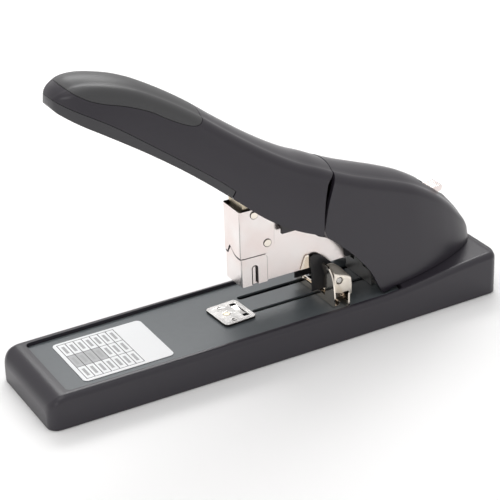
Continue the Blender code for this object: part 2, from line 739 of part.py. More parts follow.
def make_magazine(parent):
    """Rail that the staples straddle, with the front sleeve that closes the staple's path."""
    side = ARM_OUTER - ARM_SHEET - GAP
    core = 5.2
    section = [(-side, 38.2), (side, 38.2), (side, 39.2), (core, 39.2), (core, 51.8), (-core, 51.8)]
    section += [(-core, 39.2), (-side, 39.2)]
    keep(slab("magazine_rail", FRONT, [section], RAIL_FRONT, RAIL_REAR), STEEL, parent)
    rear = 146.4
    sleeve = channel("magazine_sleeve", SLEEVE_FRONT, rear, 37.9, 62, HEAD_OUTER, HEAD_SHEET)
    trim = [
        (120, 30, 0),
        (rear + 1, 30, 0),
        (rear + 1, 53, 0),
        (rear, 53, 0),
        (rear - 0.6, COVER_BOTTOM - 0.9, 0),
        (131.6, COVER_BOTTOM - 0.7, 0),
        (131.6, 62, 0),
        (120, 62, 0),
    ]
    boolean(sleeve, cutter(slab("sleeve_trim", SIDE, [rounded(trim)], -20, 20)), "INTERSECT")
    tongue = [(20, 30), (20, COVER_BOTTOM - 0.7), (8.4, COVER_BOTTOM - 0.7)] + [(y, z - 0.15) for y, z in FRONT_SEAM]
    tongue += [(-8.4, COVER_BOTTOM - 0.7), (-20, COVER_BOTTOM - 0.7), (-20, 30)]
    boolean(sleeve, cutter(slab("sleeve_tongue_trim", FRONT, [tongue], 120, 160)), "INTERSECT")
    window = rounded([(136.6, 30, 0), (140.4, 30, 0), (140.4, 49.9, 1.85), (136.6, 49.9, 1.85)])
    boolean(sleeve, cutter(slab("sleeve_window_cutter", SIDE, [window], -20, 20)))
    keep(apply_modifiers(sleeve), NICKEL, parent)
    foot, top = 39.6, STAPLE_TOP
    legs = [(-STAPLE_HALF_WIDTH, foot), (-STAPLE_HALF_WIDTH, top), (STAPLE_HALF_WIDTH, top)]
    legs += [(STAPLE_HALF_WIDTH, foot), (STAPLE_HALF_WIDTH - 0.7, foot), (STAPLE_HALF_WIDTH - 0.7, top - 0.9)]
    legs += [(-STAPLE_HALF_WIDTH + 0.7, top - 0.9), (-STAPLE_HALF_WIDTH + 0.7, foot)]
    keep(slab("staple_strip", FRONT, [legs], DRIVE_X + 1.3, 188), NICKEL, parent)
    rod = cylinder("pusher_rod", (194, 0, PUSHER_ROD_Z), (222, 0, PUSHER_ROD_Z), 1.1, sides=12)
    keep(rod, STEEL, parent)


def make_pusher(parent):
    """Follower that presses the staples forward, riding over the rail and on its rod."""
    outer, inner = STAPLE_HALF_WIDTH, STAPLE_HALF_WIDTH - 1.1
    roof = STAPLE_TOP - 1.2
    section = [(-outer, 39.8), (-inner, 39.8), (-inner, roof), (inner, roof), (inner, 39.8), (outer, 39.8)]
    section += [(outer, roof + 1.7), (3, roof + 1.7), (3, PUSHER_ROD_Z + 2.6), (-3, PUSHER_ROD_Z + 2.6)]
    section += [(-3, roof + 1.7), (-outer, roof + 1.7)]
    pusher = slab("staple_pusher", FRONT, [section, circle(0, PUSHER_ROD_Z, 1.5, 14)], 188.4, 200)
    return keep(pusher, BLACK, parent)


def make_pusher_spring(parent):
    """Spring round the rod behind the pusher."""
    spring = coil("pusher_spring", (0, PUSHER_ROD_Z), 2.2, 0.6, 210.5, 221.6, 5, "X")
    return keep(spring, SPRING_STEEL, parent)


def strap(name, x, low, high, outline, look, parent, inner=ARM_OUTER + GAP, sheet=0.85):
    """A U-shaped piece across the magazine: two cheeks outside the arm joined by a floor or a roof."""
    outer = inner + sheet
    piece = slab(name, SIDE, [outline], -outer, -inner)
    far = cutter(slab(name + "_far", SIDE, [outline], inner, outer))
    boolean(piece, far, "UNION")
    floor = cutter(box(name + "_floor", x, (-inner - sheet * 0.5, inner + sheet * 0.5), (low, high)))
    boolean(piece, floor, "UNION")
    return keep(apply_modifiers(piece), look, parent)


def make_arm_shroud(parent):
    """Black moulded cover over the rear part of the arm, with a round front edge."""
    cheek = [(197.9, 38.6), (197.0, 42.6), (195.2, 46.4), (192.4, 49.6), (188.6, 52.4), (184, 54.6), (179, 57), (176, 61)]
    cheek += [(178, 70.6), (213, 67.6), (214, 38.6)]
    strap("arm_shroud", (179.4, 213.4), 69.0, 70.0, cheek, BLACK, parent)


def make_side_lug(parent):
    """Upright steel lug on the near cheek of the arm."""
    outline = [(168.4, 38.4, 0), (174.2, 38.4, 0), (174.2, 45.6, 0), (173.4, 46.9, 0.8), (171.6, 46.4, 1), (170.6, 44.4, 0)]
    inner = ARM_OUTER + GAP
    return keep(slab("side_lug", SIDE, [rounded(outline)], -inner - 0.6, -inner), NICKEL, parent)


def make_spring_seat(parent):
    """Steel strap under the magazine that the arm's return spring presses on."""
    cheek = [(218, 36.2, 1), (234, 36.2, 1), (232, 47, 3), (220, 47, 3)]
    strap("spring_seat", (218.2, 233.8), 36.2, 37.4, rounded(cheek), STEEL, parent)


def make_release(parent):
    """Release lever: a hook behind the rail, a pin, and a thumb tail that stands out of the housing."""
    lever = [
        (225.8, 47, 0),
        (228, 47, 0),
        (229, 53.6, 1),
        (246, 53.4, 3),
        (260, 58.6, 3),
        (268.6, 61.6, 1),
        (269.6, 65.2, 1.2),
        (258.5, 64.2, 3),
        (246, 59.6, 3),
        (225.8, 60, 2),
    ]
    keep(slab("release_lever", SIDE, [rounded(lever), circle(234, 57, 1.7, 14)], -4.6, 4.6), NICKEL, parent)


def make_release_pin(parent):
    half = ARM_OUTER - ARM_SHEET - GAP
    return keep(cylinder("release_pin", (234, -half, 57), (234, half, 57), 1.4, sides=14), STEEL, parent)


# ---------------------------------------------------------------- handle

HANDLE_STATIONS = [
    # foot x, foot z, crest x, crest z, half width at the foot, half width at the shoulder
    (26.8, 167.8, 27.0, 169.9, 1.6, 1.4),
    (27.8, 165.6, 28.1, 174.8, 8.5, 7.6),
    (31.4, 163.6, 32.2, 178.4, 13.0, 11.6),
    (38.2, 160.2, 40.4, 181.5, 17.0, 15.0),
    (47.0, 155.2, 54.0, 180.2, 19.6, 17.0),
    (58.4, 147.9, 70.0, 175.0, 20.8, 17.8),
    (73.0, 138.0, 87.0, 165.7, 21.4, 18.2),
    (90.0, 125.6, 104.0, 154.4, 22.0, 18.6),
    (107.0, 112.0, 121.0, 141.3, 22.6, 19.0),
    (124.0, 97.4, 137.5, 129.1, 23.4, 19.6),
    (139.0, 84.6, 151.6, 119.6, 24.4, 20.2),
    (156.0, 73.8, 165.6, 111.3, 25.4, 20.6),
    (172.0, 66.6, 178.4, 105.3, 26.2, 21.0),
    (186.0, 60.8, 189.0, 99.8, 26.6, 21.0),
]
HANDLE_REAR_EDGE = [(174.1, 66.5), (175.2, 76.8), (177.2, 86), (180, 94), (182.8, 97), (186.8, 99.2), (189.6, 101.4), (190, 220)]


def handle_rings(inset=0.0, with_floor=False):
    """Cross-sections of the handle from the nose back, each in its own tilted plane."""
    rings = []
    for foot_x, foot_z, crest_x, crest_z, foot, shoulder in smooth(HANDLE_STATIONS, 2):
        up = Vector((crest_x - foot_x, crest_z - foot_z))
        height = up.length
        up.normalize()
        corner = min(6.5, shoulder * 0.5, height * 0.3)
        crown = min(2.6, height * 0.09)
        section = arch(foot - inset, shoulder - inset, height - inset, corner, crown)
        ring = [(foot_x + up.x * h, y, foot_z + up.y * h) for y, h in section]
        if with_floor:
            ring += [(foot_x, y, foot_z) for y in (foot * 0.5, 0.0, -foot * 0.5)]
        rings.append(ring)
    return rings


def seam_outline(shift):
    """Line between the handle's shell and its underside cover, as a side view, moved down by shift."""
    seam = [(10, 190), (18.4, 181.4), (29.9, 172.1), (52.2, 159.0), (76.9, 140.9), (107.3, 117.6), (121.4, 105.4)]
    return [(x, z - shift) for x, z in seam]


def make_handle(parent):
    """Moulded handle: shell over the top, rubber grip let into it, and an underside cover at the front."""
    upper = loft("handle_shell", handle_rings(), cap_first=True)
    shell(upper, SHELL)
    over_seam = seam_outline(0) + [(119.2, 102.4), (126, 60), (174.1, 60), *HANDLE_REAR_EDGE, (10, 220)]
    boolean(upper, cutter(slab("shell_trim", SIDE, [over_seam], -40, 40)), "INTERSECT")
    grip_layer = loft("grip_layer_cutter", handle_rings(-0.6), cap_first=True)
    shell(grip_layer, 0.6 + 1.5)
    boolean(grip_layer, cutter(slab("grip_region", SIDE, [grip_outline(0)], -40, 40)), "INTERSECT")
    apply_modifiers(grip_layer)
    boolean(upper, cutter(grip_layer))
    keep(apply_modifiers(upper), BLACK, parent)

    grip = shell(loft("handle_grip", handle_rings(), cap_first=True), 1.2)
    boolean(grip, cutter(slab("grip_trim", SIDE, [grip_outline(GAP)], -40, 40)), "INTERSECT")
    keep(apply_modifiers(grip), GREY_RUBBER, parent)

    under = loft("handle_underside", handle_rings(with_floor=True), closed_rings=True, cap_first=True)
    shell(under, SHELL)
    under_seam = seam_outline(GAP)[:-1] + [(120.7, 105.6), (118.5, 102.8), (112, 92), (10, 92)]
    boolean(under, cutter(slab("underside_trim", SIDE, [under_seam], -40, 40)), "INTERSECT")
    keep(apply_modifiers(under), BLACK, parent)


def grip_outline(inset):
    """Side view of the rubber grip: low at the nose, rising to the rear where it ends in a round."""
    lower = [(20, 192), (32.9, 179.6), (41.9, 173.4), (49.7, 170.0), (62.5, 166.0), (75.4, 160.3)]
    lower += [(85.0, 154.2), (95.0, 148.6), (101.7, 146.4)]
    end = [(106.2, 147.6), (108.6, 150.8), (112, 160)]
    outline = [(x, z + inset) for x, z in lower] + [(x - inset, z + inset * 0.5) for x, z in end]
    return outline + [(112 - inset, 215), (20, 215)]


def make_levers(parent):
    """Two steel levers inside the handle, from the main pin to the drive pin and on into the grip."""
    outline = [
        (PIVOT_X + 8, PIVOT_Z - 8, 8),
        (PIVOT_X + 8, PIVOT_Z + 8, 8),
        (200, 80, 8),
        (156, 110, 6),
        (129, 125.5, 4),
        (121, 119, 4),
        (141, 98.5, 6),
        (154.8, 88, 3),
        (154.8, 66.4, 0),
        (184, 66.4, 6),
        (PIVOT_X - 8, PIVOT_Z - 8, 8),
    ]
    holes = [circle(PIVOT_X, PIVOT_Z, PIVOT_RADIUS + GAP, 20)]
    holes += [circle(DRIVE_PIN_X, DRIVE_PIN_Z, DRIVE_PIN_RADIUS + GAP, 16), circle(128, 121, 2.0 + GAP, 16)]
    for side, name in ((-1, "left"), (1, "right")):
        low, high = sorted((side * LEVER_INNER, side * LEVER_OUTER))
        keep(slab("handle_lever_" + name, SIDE, [rounded(outline), *holes], low, high), STEEL, parent)
    reach = LEVER_OUTER + 0.9
    drive = cylinder("drive_pin", (DRIVE_PIN_X, -reach, DRIVE_PIN_Z), (DRIVE_PIN_X, reach, DRIVE_PIN_Z), DRIVE_PIN_RADIUS)
    keep(drive, STEEL, parent)
    keep(cylinder("lever_cross_bolt", (128, -14.2, 121), (128, 14.2, 121), 2.0, sides=16), STEEL, parent)


# ---------------------------------------------------------------- paper guide


def make_guide(parent):
    """Paper guide: a cross channel with an upright near blade, a far ear and a foot behind the blade."""
    low, high, sheet = PLATE_TOP + GAP, 21.9, 0.9
    front, rear = GUIDE_X, GUIDE_X + 4.6
    wall = [(-25.5, low), (-26.2, 23.2), (-25.9, 27.7), (-25.0, 32.8), (-23.0, 37.4), (-20.2, 40.2), (-18.4, 41.4)]
    wall += [(-12.9, 41.4), (-12.8, 40.3), (-14.6, 38.4), (-16.6, 35.0), (-16.0, high), (10.6, high)]
    wall += [(11.4, 25.6), (15.9, 25.6), (15.9, low)]
    carriage = slab("guide_carriage", FRONT, [wall], front, front + sheet)
    section = [(front + 0.4, low), (rear, low), (rear, high - 1.6), (rear - sheet, high - 1.6)]
    section += [(rear - sheet, low + 0.8), (front + 0.4, low + 0.8)]
    boolean(carriage, cutter(slab("guide_floor", SIDE, [section], -25.2, 15.6)), "UNION")
    post = [(-10.6, low + 0.3), (-10.6, 31.6), (-11.4, 32.0), (-15.6, 32.0), (-15.6, low + 0.3)]
    boolean(carriage, cutter(slab("guide_post", FRONT, [post], front + 2.2, front + 3.1)), "UNION")
    bridge = box("guide_foot_floor", (rear - 0.4, 187.6), (-17.0, -13.6), (low + 0.05, low + 0.75))
    boolean(carriage, cutter(bridge), "UNION")
    foot = [(-13.4, low), (-30.0, low), (-30.2, 27.9), (-28.4, 28.2), (-24.2, 25.6), (-23.6, 23.2), (-13.4, 21.8)]
    boolean(carriage, cutter(slab("guide_foot", FRONT, [foot], 187.0, 188.1)), "UNION")
    for y in (FAR_SLOT_Y, NEAR_SLOT_Y):
        way = cutter(cylinder("stud_way_cutter", (STUD_X, y, 10), (STUD_X, y, 19.5), 1.1 + GAP, sides=14))
        boolean(carriage, way)
    keep(apply_modifiers(carriage), NICKEL, parent)
    for y, name in ((FAR_SLOT_Y, "far"), (NEAR_SLOT_Y, "near")):
        stud = cylinder("guide_stud_" + name, (STUD_X, y, 13.4), (STUD_X, y, low + 1.5), 1.05, sides=14)
        keep(stud, STEEL, parent)
    keeper_holes = [circle(STUD_X, y, 1.05 + GAP, 14) for y in (FAR_SLOT_Y, NEAR_SLOT_Y)]
    keeper = rounded([(176, -9, 1.5), (189, -9, 1.5), (189, 18.5, 1.5), (176, 18.5, 1.5)])
    keep(slab("guide_keeper", FLAT, [keeper, *keeper_holes], 14.4, 15.4), STEEL, parent)


def make_guide_fork(parent):
    """Black fork on the guide that the magazine comes down into, with dome-topped cheeks."""
    dome = [(175.2, 23), (175.2, 36), (174.4, 39), (174.4, 45.2), (176.6, 46.2), (179.6, 45.8), (182.2, 44.2)]
    dome += [(185.0, 41.6), (188.4, 38.2), (191.4, 33.6), (191.4, 23)]
    strap("guide_fork", (185.2, 191.2), 22.3, 23.3, dome, BLACK, parent, ARM_OUTER + 1.1, 0.9)


LOCK_X, LOCK_Z = 185.8, 32.6
LOCK_FLANK = -22.6
# Curved cap of the lock lever: x, height at its far edge, height at its near edge
LOCK_CAP = [(182.3, 40.6, 38.0), (184.6, 40.7, 36.8), (187.0, 40.0, 35.8), (189.4, 38.2, 35.0), (191.8, 35.7, 34.0)]
LOCK_CAP += [(193.6, 33.4, 32.8)]


def make_guide_lock(parent):
    """Lock lever of the guide: a cap that curves down to the rear, over a flank with a round hole."""
    rings = []
    for x, far, near in LOCK_CAP:
        across = [(-13.2, far - 1.6), (-14.2, far - 0.3), (-16.5, far), (-19.5, near + (far - near) * 0.45)]
        across += [(-22.0, near + 0.35), (LOCK_FLANK - 0.2, near - 0.5), (LOCK_FLANK - 0.35, near - 2.2)]
        rings.append([(x, y, z) for y, z in reversed(across)])
    cap = shell(loft("guide_lock_lever", rings), 0.8)
    flank = [
        (182.3, 26.0, 1),
        (186.2, 24.4, 0),
        (193.8, 21.6, 1),
        (194.0, 28, 0),
        (193.6, 31.4, 0),
        (189.4, 33.6, 0),
        (182.3, 36.4, 0),
    ]
    side = slab("lock_flank", SIDE, [rounded(flank)], LOCK_FLANK - 0.27, LOCK_FLANK + 0.57)
    boolean(cap, cutter(side), "UNION")
    boolean(cap, cutter(cylinder("lock_hole_cutter", (LOCK_X, -30, LOCK_Z), (LOCK_X, -20, LOCK_Z), 2.3, sides=20)))
    keep(apply_modifiers(cap), NICKEL, parent)


def make_guide_pin(parent):
    """Pivot pin of the lock lever, and the upright of the guide that holds it."""
    upright = [(183.6, 20.7, 0), (186.6, 20.7, 0), (186.6, 25, 0), (189.2, 28.6, 0), (188.6, 35, 2), (184, 35.6, 2)]
    hole = circle(LOCK_X, LOCK_Z, 1.75 + GAP, 18)
    keep(slab("guide_lock_upright", SIDE, [rounded(upright), hole], -20.2, -19.2), NICKEL, parent)
    ends = ((LOCK_X, LOCK_FLANK - 0.1, LOCK_Z), (LOCK_X, -18.2, LOCK_Z))
    keep(cylinder("guide_lock_pin", *ends, 1.75, sides=18), STEEL, parent)


def build():
    make_base_tray()
    make_bottom_cover()
    make_base_plate()
    make_label()
    make_anvil(axis_empty("anvil_axis", ANVIL_X, ANVIL_TOP, ANVIL_Y))
    make_bracket()
    make_pivot_pin()
    make_arm_spring()
    make_housing()
    arm = axis_empty("arm_axis", PIVOT_X, PIVOT_Z)
    make_arm(arm)
    make_head_cover(arm)
    make_spring_shelf(arm)
    make_arm_shroud(arm)
    make_side_lug(arm)
    make_spring_seat(arm)
    make_release_pin(arm)
    make_release(axis_empty("release_axis", 234, 57))
    make_driver(axis_empty("driver_axis", DRIVE_X, 54.4))
    make_magazine(axis_empty("rail_axis", SLEEVE_FRONT, ARM_BOTTOM))
    make_pusher(axis_empty("pusher_axis", 188.4, 48))
    make_pusher_spring(bpy.data.objects["rail_axis"])
    handle = axis_empty("handle_axis", PIVOT_X, PIVOT_Z)
    make_handle(handle)
    make_levers(handle)
    guide = axis_empty("guide_axis", GUIDE_X, PLATE_TOP)
    make_guide(guide)
    make_guide_fork(guide)
    make_guide_pin(guide)
    make_guide_lock(axis_empty("guide_lock_axis", LOCK_X, LOCK_Z))


build()
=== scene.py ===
"""Looks of a heavy-duty desktop stapler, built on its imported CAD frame.

Every shape helper takes millimetres: x runs back from the front end of the base, y across, z up from the
table. The frame's origin is under the middle of the base, so point() takes half the length off x.
"""

import json
import math

import bmesh
import bpy
from mathutils import Matrix, Vector

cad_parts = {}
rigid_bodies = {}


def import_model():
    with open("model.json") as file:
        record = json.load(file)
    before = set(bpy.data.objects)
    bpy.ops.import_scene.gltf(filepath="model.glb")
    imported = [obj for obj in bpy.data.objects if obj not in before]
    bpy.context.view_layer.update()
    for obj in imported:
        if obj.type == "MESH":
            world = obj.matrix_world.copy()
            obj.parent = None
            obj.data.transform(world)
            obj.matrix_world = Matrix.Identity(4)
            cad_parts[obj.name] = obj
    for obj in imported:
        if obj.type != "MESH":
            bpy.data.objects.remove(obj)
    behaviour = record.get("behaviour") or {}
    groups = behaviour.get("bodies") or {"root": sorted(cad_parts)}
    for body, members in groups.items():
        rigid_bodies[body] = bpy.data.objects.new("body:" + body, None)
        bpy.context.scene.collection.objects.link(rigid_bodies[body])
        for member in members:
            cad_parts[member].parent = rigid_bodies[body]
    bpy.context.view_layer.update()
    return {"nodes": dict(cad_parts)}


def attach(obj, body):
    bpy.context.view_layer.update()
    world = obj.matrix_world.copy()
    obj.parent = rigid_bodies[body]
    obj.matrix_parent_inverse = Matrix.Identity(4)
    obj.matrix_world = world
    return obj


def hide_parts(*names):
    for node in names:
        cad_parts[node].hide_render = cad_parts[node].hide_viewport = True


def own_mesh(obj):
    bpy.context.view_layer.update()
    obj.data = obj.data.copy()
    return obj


for old in list(bpy.data.objects):
    bpy.data.objects.remove(old, do_unlink=True)
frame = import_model()

MM = 0.001
GAP = 0.3

# Base
BASE_LENGTH = 290.0
BASE_OVERHANG = 0.4
BASE_HALF_WIDTH = 35.0
BASE_CORNER = 6.0
FRONT_ROUND, FRONT_DROP = 11.0, 9.5
TRAY_BOTTOM = 0.3
TRAY_FLOOR = 2.6
RIM_TOP = 19.8
DECK_REAR_TOP = 26.6
PLATE_TOP = 17.7
PLATE_THICKNESS = 1.2
PLATE_FRONT = 12.7
PLATE_HALF_WIDTH = 30.4
PLATE_STEP = 223.5
PLATE_REAR = 268.6
PLATE_REAR_GAP = 0.4
SLOT_FRONT = 139.0
SLOT_REAR = 216.0
FAR_SLOT_Y = 14.0
NEAR_SLOT_Y = -4.0

LABEL_X, LABEL_Y = (25.2, 79.5), (-23, 22)

ANVIL_X, ANVIL_Y, ANVIL_TOP = 123.9, -0.6, 19.2
PIVOT_X, PIVOT_Z, PIVOT_RADIUS = 246.0, 45.0, 3.0

# Magazine arm and head
ARM_BOTTOM = 38.0
ARM_OUTER = 8.2
ARM_SHEET = 1.1
HEAD_OUTER = 9.4
HEAD_SHEET = 0.9
HEAD_FRONT = 129.5
SLEEVE_FRONT = 130.1
COVER_TOP = 85.0
COVER_BOTTOM = 56.0
COVER_REAR = 151.2
SLEEVE_REAR = 146.4
# Across the middle: the dark plates between arm and sheets, painted shade behind the head's rear edges.
SHADE_PLATE_Y = (ARM_OUTER + 0.05, ARM_OUTER + 0.25)
HEAD_PIN = (146.8, 62.1)
UPPER_PIN = (138.8, 81.4)
STAPLE_HALF_WIDTH = 6.6
DRIVER_FRONT, DRIVER_NECK, DRIVER_REAR = 132.5, 137.1, 152.0
DRIVE_PIN_X, DRIVE_PIN_Z, DRIVE_PIN_RADIUS = 148.5, 103.0, 1.8
DRIVE_SLOT_FRONT = 140.4
LEVER_INNER, LEVER_OUTER = 10.5, 12.3
BRACKET_INNER, BRACKET_OUTER = 13.6, 15.2
SHELL = 2.2
GUIDE_X = 180.2

CUT = 40.0  # reach of a cutter that goes right through a piece

SIDE = Matrix(((1, 0, 0), (0, 0, -1), (0, 1, 0)))  # outline (u, v) to (x, z)
FRONT = Matrix(((0, 0, 1), (1, 0, 0), (0, 1, 0)))  # outline (u, v) to (y, z)
FLAT = Matrix.Identity(3)  # outline (u, v) to (x, y)


# ---------------------------------------------------------------- shape helpers


def point(x, y, z):
    """A place in the script's millimetres as a vector in the frame's metres."""
    return Vector(((x - BASE_LENGTH / 2) * MM, y * MM, z * MM))


def new_object(name, mesh):
    obj = bpy.data.objects.new(name, mesh)
    bpy.context.scene.collection.objects.link(obj)
    return obj


def weld(mesh, distance=1e-6):
    edit = bmesh.new()
    edit.from_mesh(mesh)
    bmesh.ops.remove_doubles(edit, verts=edit.verts, dist=distance)
    bmesh.ops.dissolve_degenerate(edit, dist=distance, edges=edit.edges)
    bmesh.ops.recalc_face_normals(edit, faces=edit.faces)
    edit.to_mesh(mesh)
    edit.free()


def built(name, edit):
    """An object made from a bmesh, which is freed."""
    mesh = bpy.data.meshes.new(name)
    edit.to_mesh(mesh)
    edit.free()
    return new_object(name, mesh)


def evaluated(obj):
    bpy.context.view_layer.update()
    graph = bpy.context.evaluated_depsgraph_get()
    return bpy.data.meshes.new_from_object(obj.evaluated_get(graph))


def apply_modifiers(obj):
    mesh = evaluated(obj)
    obj.modifiers.clear()
    obj.data = mesh
    return obj


def trim(obj, outline):
    """Keeps only what lies inside an outline of the side view."""
    return boolean(obj, slab(obj.name + "_trim", SIDE, [outline], -CUT, CUT), "INTERSECT")


def boolean(obj, other, operation="DIFFERENCE"):
    """Cuts away, joins or intersects another solid at once, and throws that solid away."""
    made = obj.modifiers.new(operation.lower(), "BOOLEAN")
    made.operation = operation
    made.solver = "EXACT"
    made.object = other
    apply_modifiers(obj)
    bpy.data.objects.remove(other, do_unlink=True)
    weld(obj.data)
    return obj


def round_edges(obj, width, segments=2, angle=32):
    made = obj.modifiers.new("round", "BEVEL")
    made.width = width * MM
    made.segments = segments
    made.limit_method = "ANGLE"
    made.angle_limit = math.radians(angle)
    made.miter_outer = "MITER_ARC"
    made.use_clamp_overlap = True
    return apply_modifiers(obj)


def finish_piece(obj, look, slot, body, *replaced, edge=0.0, segments=2, angle=32):
    """Rounds a finished piece's edges, smooths it, gives it its material and body, and hides the CAD nodes it
    replaces.
    """
    if edge:
        round_edges(obj, edge, segments, angle)
    obj.data.shade_smooth()
    obj.data.set_sharp_from_angle(angle=math.radians(38))
    weighted = obj.modifiers.new("normals", "WEIGHTED_NORMAL")
    weighted.keep_sharp = True
    weighted.weight = 80
    obj.data.materials.clear()
    obj.data.materials.append(look)
    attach(obj, body)
    if replaced:
        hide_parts(*replaced)
    return obj


def paint_edge_shade(obj, is_shaded):
    """Paints shade on the chosen faces of a piece, so its edges, seams and rims read as dark lines."""
    obj.data.materials.append(PAINTED_SHADE)
    for face in obj.data.polygons:
        face.material_index = int(is_shaded(face.normal, face.center.x / MM + BASE_LENGTH / 2))
    return obj


def edge_shade_faces(normal, x):
    """Faces painted with shade: top, bottom and rear edges of a channel, and all round a window behind its
    front wall.
    """
    return abs(normal.z) > 0.25 or normal.x > 0.25 or (x > 134 and abs(normal.y) < 0.9)


def box(name, x, y, z):
    edit = bmesh.new()
    bmesh.ops.create_cube(edit, size=1.0)
    size = Vector((x[1] - x[0], y[1] - y[0], z[1] - z[0])) * MM
    centre = point(sum(x) / 2, sum(y) / 2, sum(z) / 2)
    bmesh.ops.transform(edit, matrix=Matrix.LocRotScale(centre, None, size), verts=edit.verts)
    return built(name, edit)


def turned(name, start, axis, profile, sides=48):
    """A lathe-turned solid: (distance along the axis, radius) pairs from one end to the other."""
    edit = bmesh.new()
    along = Vector(axis).normalized()
    across = along.orthogonal().normalized()
    other = along.cross(across)
    rows = []
    for distance, radius in profile:
        row = []
        for k in range(sides):
            angle = 2 * math.pi * k / sides
            spread = (across * math.cos(angle) + other * math.sin(angle)) * radius
            row.append(edit.verts.new(point(*start) + (along * distance + spread) * MM))
        rows.append(row)
    for row, following in zip(rows, rows[1:]):
        for k in range(sides):
            j = (k + 1) % sides
            edit.faces.new((row[k], row[j], following[j], following[k]))
    edit.faces.new(list(reversed(rows[0])))
    edit.faces.new(rows[-1])
    bmesh.ops.recalc_face_normals(edit, faces=edit.faces)
    return built(name, edit)


def cylinder(name, start, end, radius, sides=48):
    axis = Vector(end) - Vector(start)
    return turned(name, start, axis, [(0, radius), (axis.length, radius)], sides)


def rounded(corners, steps=10):
    """The outline through corners (u, v, radius), with each corner rounded to its radius by an arc."""
    outline = []
    count = len(corners)
    for i, (u, v, radius) in enumerate(corners):
        here = Vector((u, v))
        if radius <= 0:
            outline.append((u, v))
            continue
        before = (Vector(corners[i - 1][:2]) - here).normalized()
        after = (Vector(corners[(i + 1) % count][:2]) - here).normalized()
        half = before.angle(after) / 2
        centre = here + (before + after).normalized() * radius / math.sin(half)
        start = here + before * radius / math.tan(half) - centre
        end = here + after * radius / math.tan(half) - centre
        sweep = start.angle_signed(end)
        for k in range(steps + 1):
            turn = start.copy()
            turn.rotate(Matrix.Rotation(-sweep * k / steps, 2))
            outline.append(tuple(centre + turn))
    return outline


def rectangle(u, v, radius=0.0, steps=10):
    """The outline between two values of u and two of v, with all four corners rounded."""
    corners = [(u[0], v[0]), (u[1], v[0]), (u[1], v[1]), (u[0], v[1])]
    return rounded([(*corner, radius) for corner in corners], steps)


def window_outline(u, v, radius):
    """A rectangle with square lower corners and rounded upper ones."""
    return rounded([(u[0], v[0], 0), (u[1], v[0], 0), (u[1], v[1], radius), (u[0], v[1], radius)])


def mirrored(half):
    """The corners (u, v, radius) of a symmetrical outline, from those where v is positive."""
    return [(u, -v, radius) for u, v, radius in half] + half[::-1]


def circle(u, v, radius, sides=40):
    angles = [2 * math.pi * k / sides for k in range(sides)]
    return [(u + radius * math.cos(a), v + radius * math.sin(a)) for a in angles]


def slab(name, plane, outlines, low, high):
    """A flat piece: outlines in a plane, the first outside and the others its holes, between two depths."""
    curve = bpy.data.curves.new(name, "CURVE")
    curve.dimensions = "2D"
    curve.fill_mode = "BOTH"
    curve.extrude = (high - low) / 2 * MM
    for outline in outlines:
        spline = curve.splines.new("POLY")
        spline.points.add(len(outline) - 1)
        spline.use_cyclic_u = True
        for spot, (u, v) in zip(spline.points, outline):
            spot.co = (u * MM, v * MM, 0, 1)
    shape = new_object(name + "_outline", curve)
    middle = (low + high) / 2
    place = {id(SIDE): (0, middle, 0), id(FRONT): (middle, 0, 0), id(FLAT): (0, 0, middle)}[id(plane)]
    shape.matrix_world = Matrix.Translation(point(*place)) @ plane.to_4x4()
    mesh = evaluated(shape)
    mesh.transform(shape.matrix_world)
    mesh.name = name
    bpy.data.objects.remove(shape)
    weld(mesh)
    return new_object(name, mesh)


def cheek_pair(name, outlines, inner, outer):
    """Two flat cheeks, one on each side of the middle."""
    pair = slab(name, SIDE, outlines, -outer, -inner)
    return boolean(pair, slab(name + "_far", SIDE, outlines, inner, outer), "UNION")


def each_side(inner, outer, near="near", far="far"):
    """The name and the lower and upper y of a plate on each side of the middle."""
    return (near, -outer, -inner), (far, inner, outer)


def loft(name, rings, closed_rings=False, cap_first=False, cap_last=False):
    """A skin over rings of points, one ring after another."""
    edit = bmesh.new()
    rows = [[edit.verts.new(point(*spot)) for spot in ring] for ring in rings]
    count = len(rows[0])
    spans = count if closed_rings else count - 1
    for row, following in zip(rows, rows[1:]):
        for i in range(spans):
            j = (i + 1) % count
            edit.faces.new((row[i], following[i], following[j], row[j]))
    if cap_first:
        edit.faces.new(rows[0])
    if cap_last:
        edit.faces.new(list(reversed(rows[-1])))
    return built(name, edit)


def solid_loft(name, rings):
    """A closed solid over rings of points, with a cap at each end."""
    solid = loft(name, rings, closed_rings=True, cap_first=True, cap_last=True)
    weld(solid.data)
    return solid


def shell(obj, thickness):
    """Gives a skin a wall on its inner side."""
    made = obj.modifiers.new("wall", "SOLIDIFY")
    made.thickness = thickness * MM
    made.offset = -1.0
    made.use_even_offset = True
    return apply_modifiers(obj)


def smooth(values, steps):
    """Catmull-Rom points through tuples of numbers, with steps spans between each two."""

    def spline(p, q, r, s, t):
        square = (2 * p - 5 * q + 4 * r - s) * t * t
        cube = (3 * q - p - 3 * r + s) * t**3
        return 0.5 * (2 * q + (r - p) * t + square + cube)

    padded = [values[0], *values, values[-1]]
    made = []
    for four in zip(padded, padded[1:], padded[2:], padded[3:]):
        for k in range(steps):
            made.append(tuple(spline(*numbers, k / steps) for numbers in zip(*four)))
    return made + [tuple(values[-1])]


def ramp(x, start, end):
    t = min(max((x - start) / (end - start), 0.0), 1.0)
    return t * t * (3 - 2 * t)


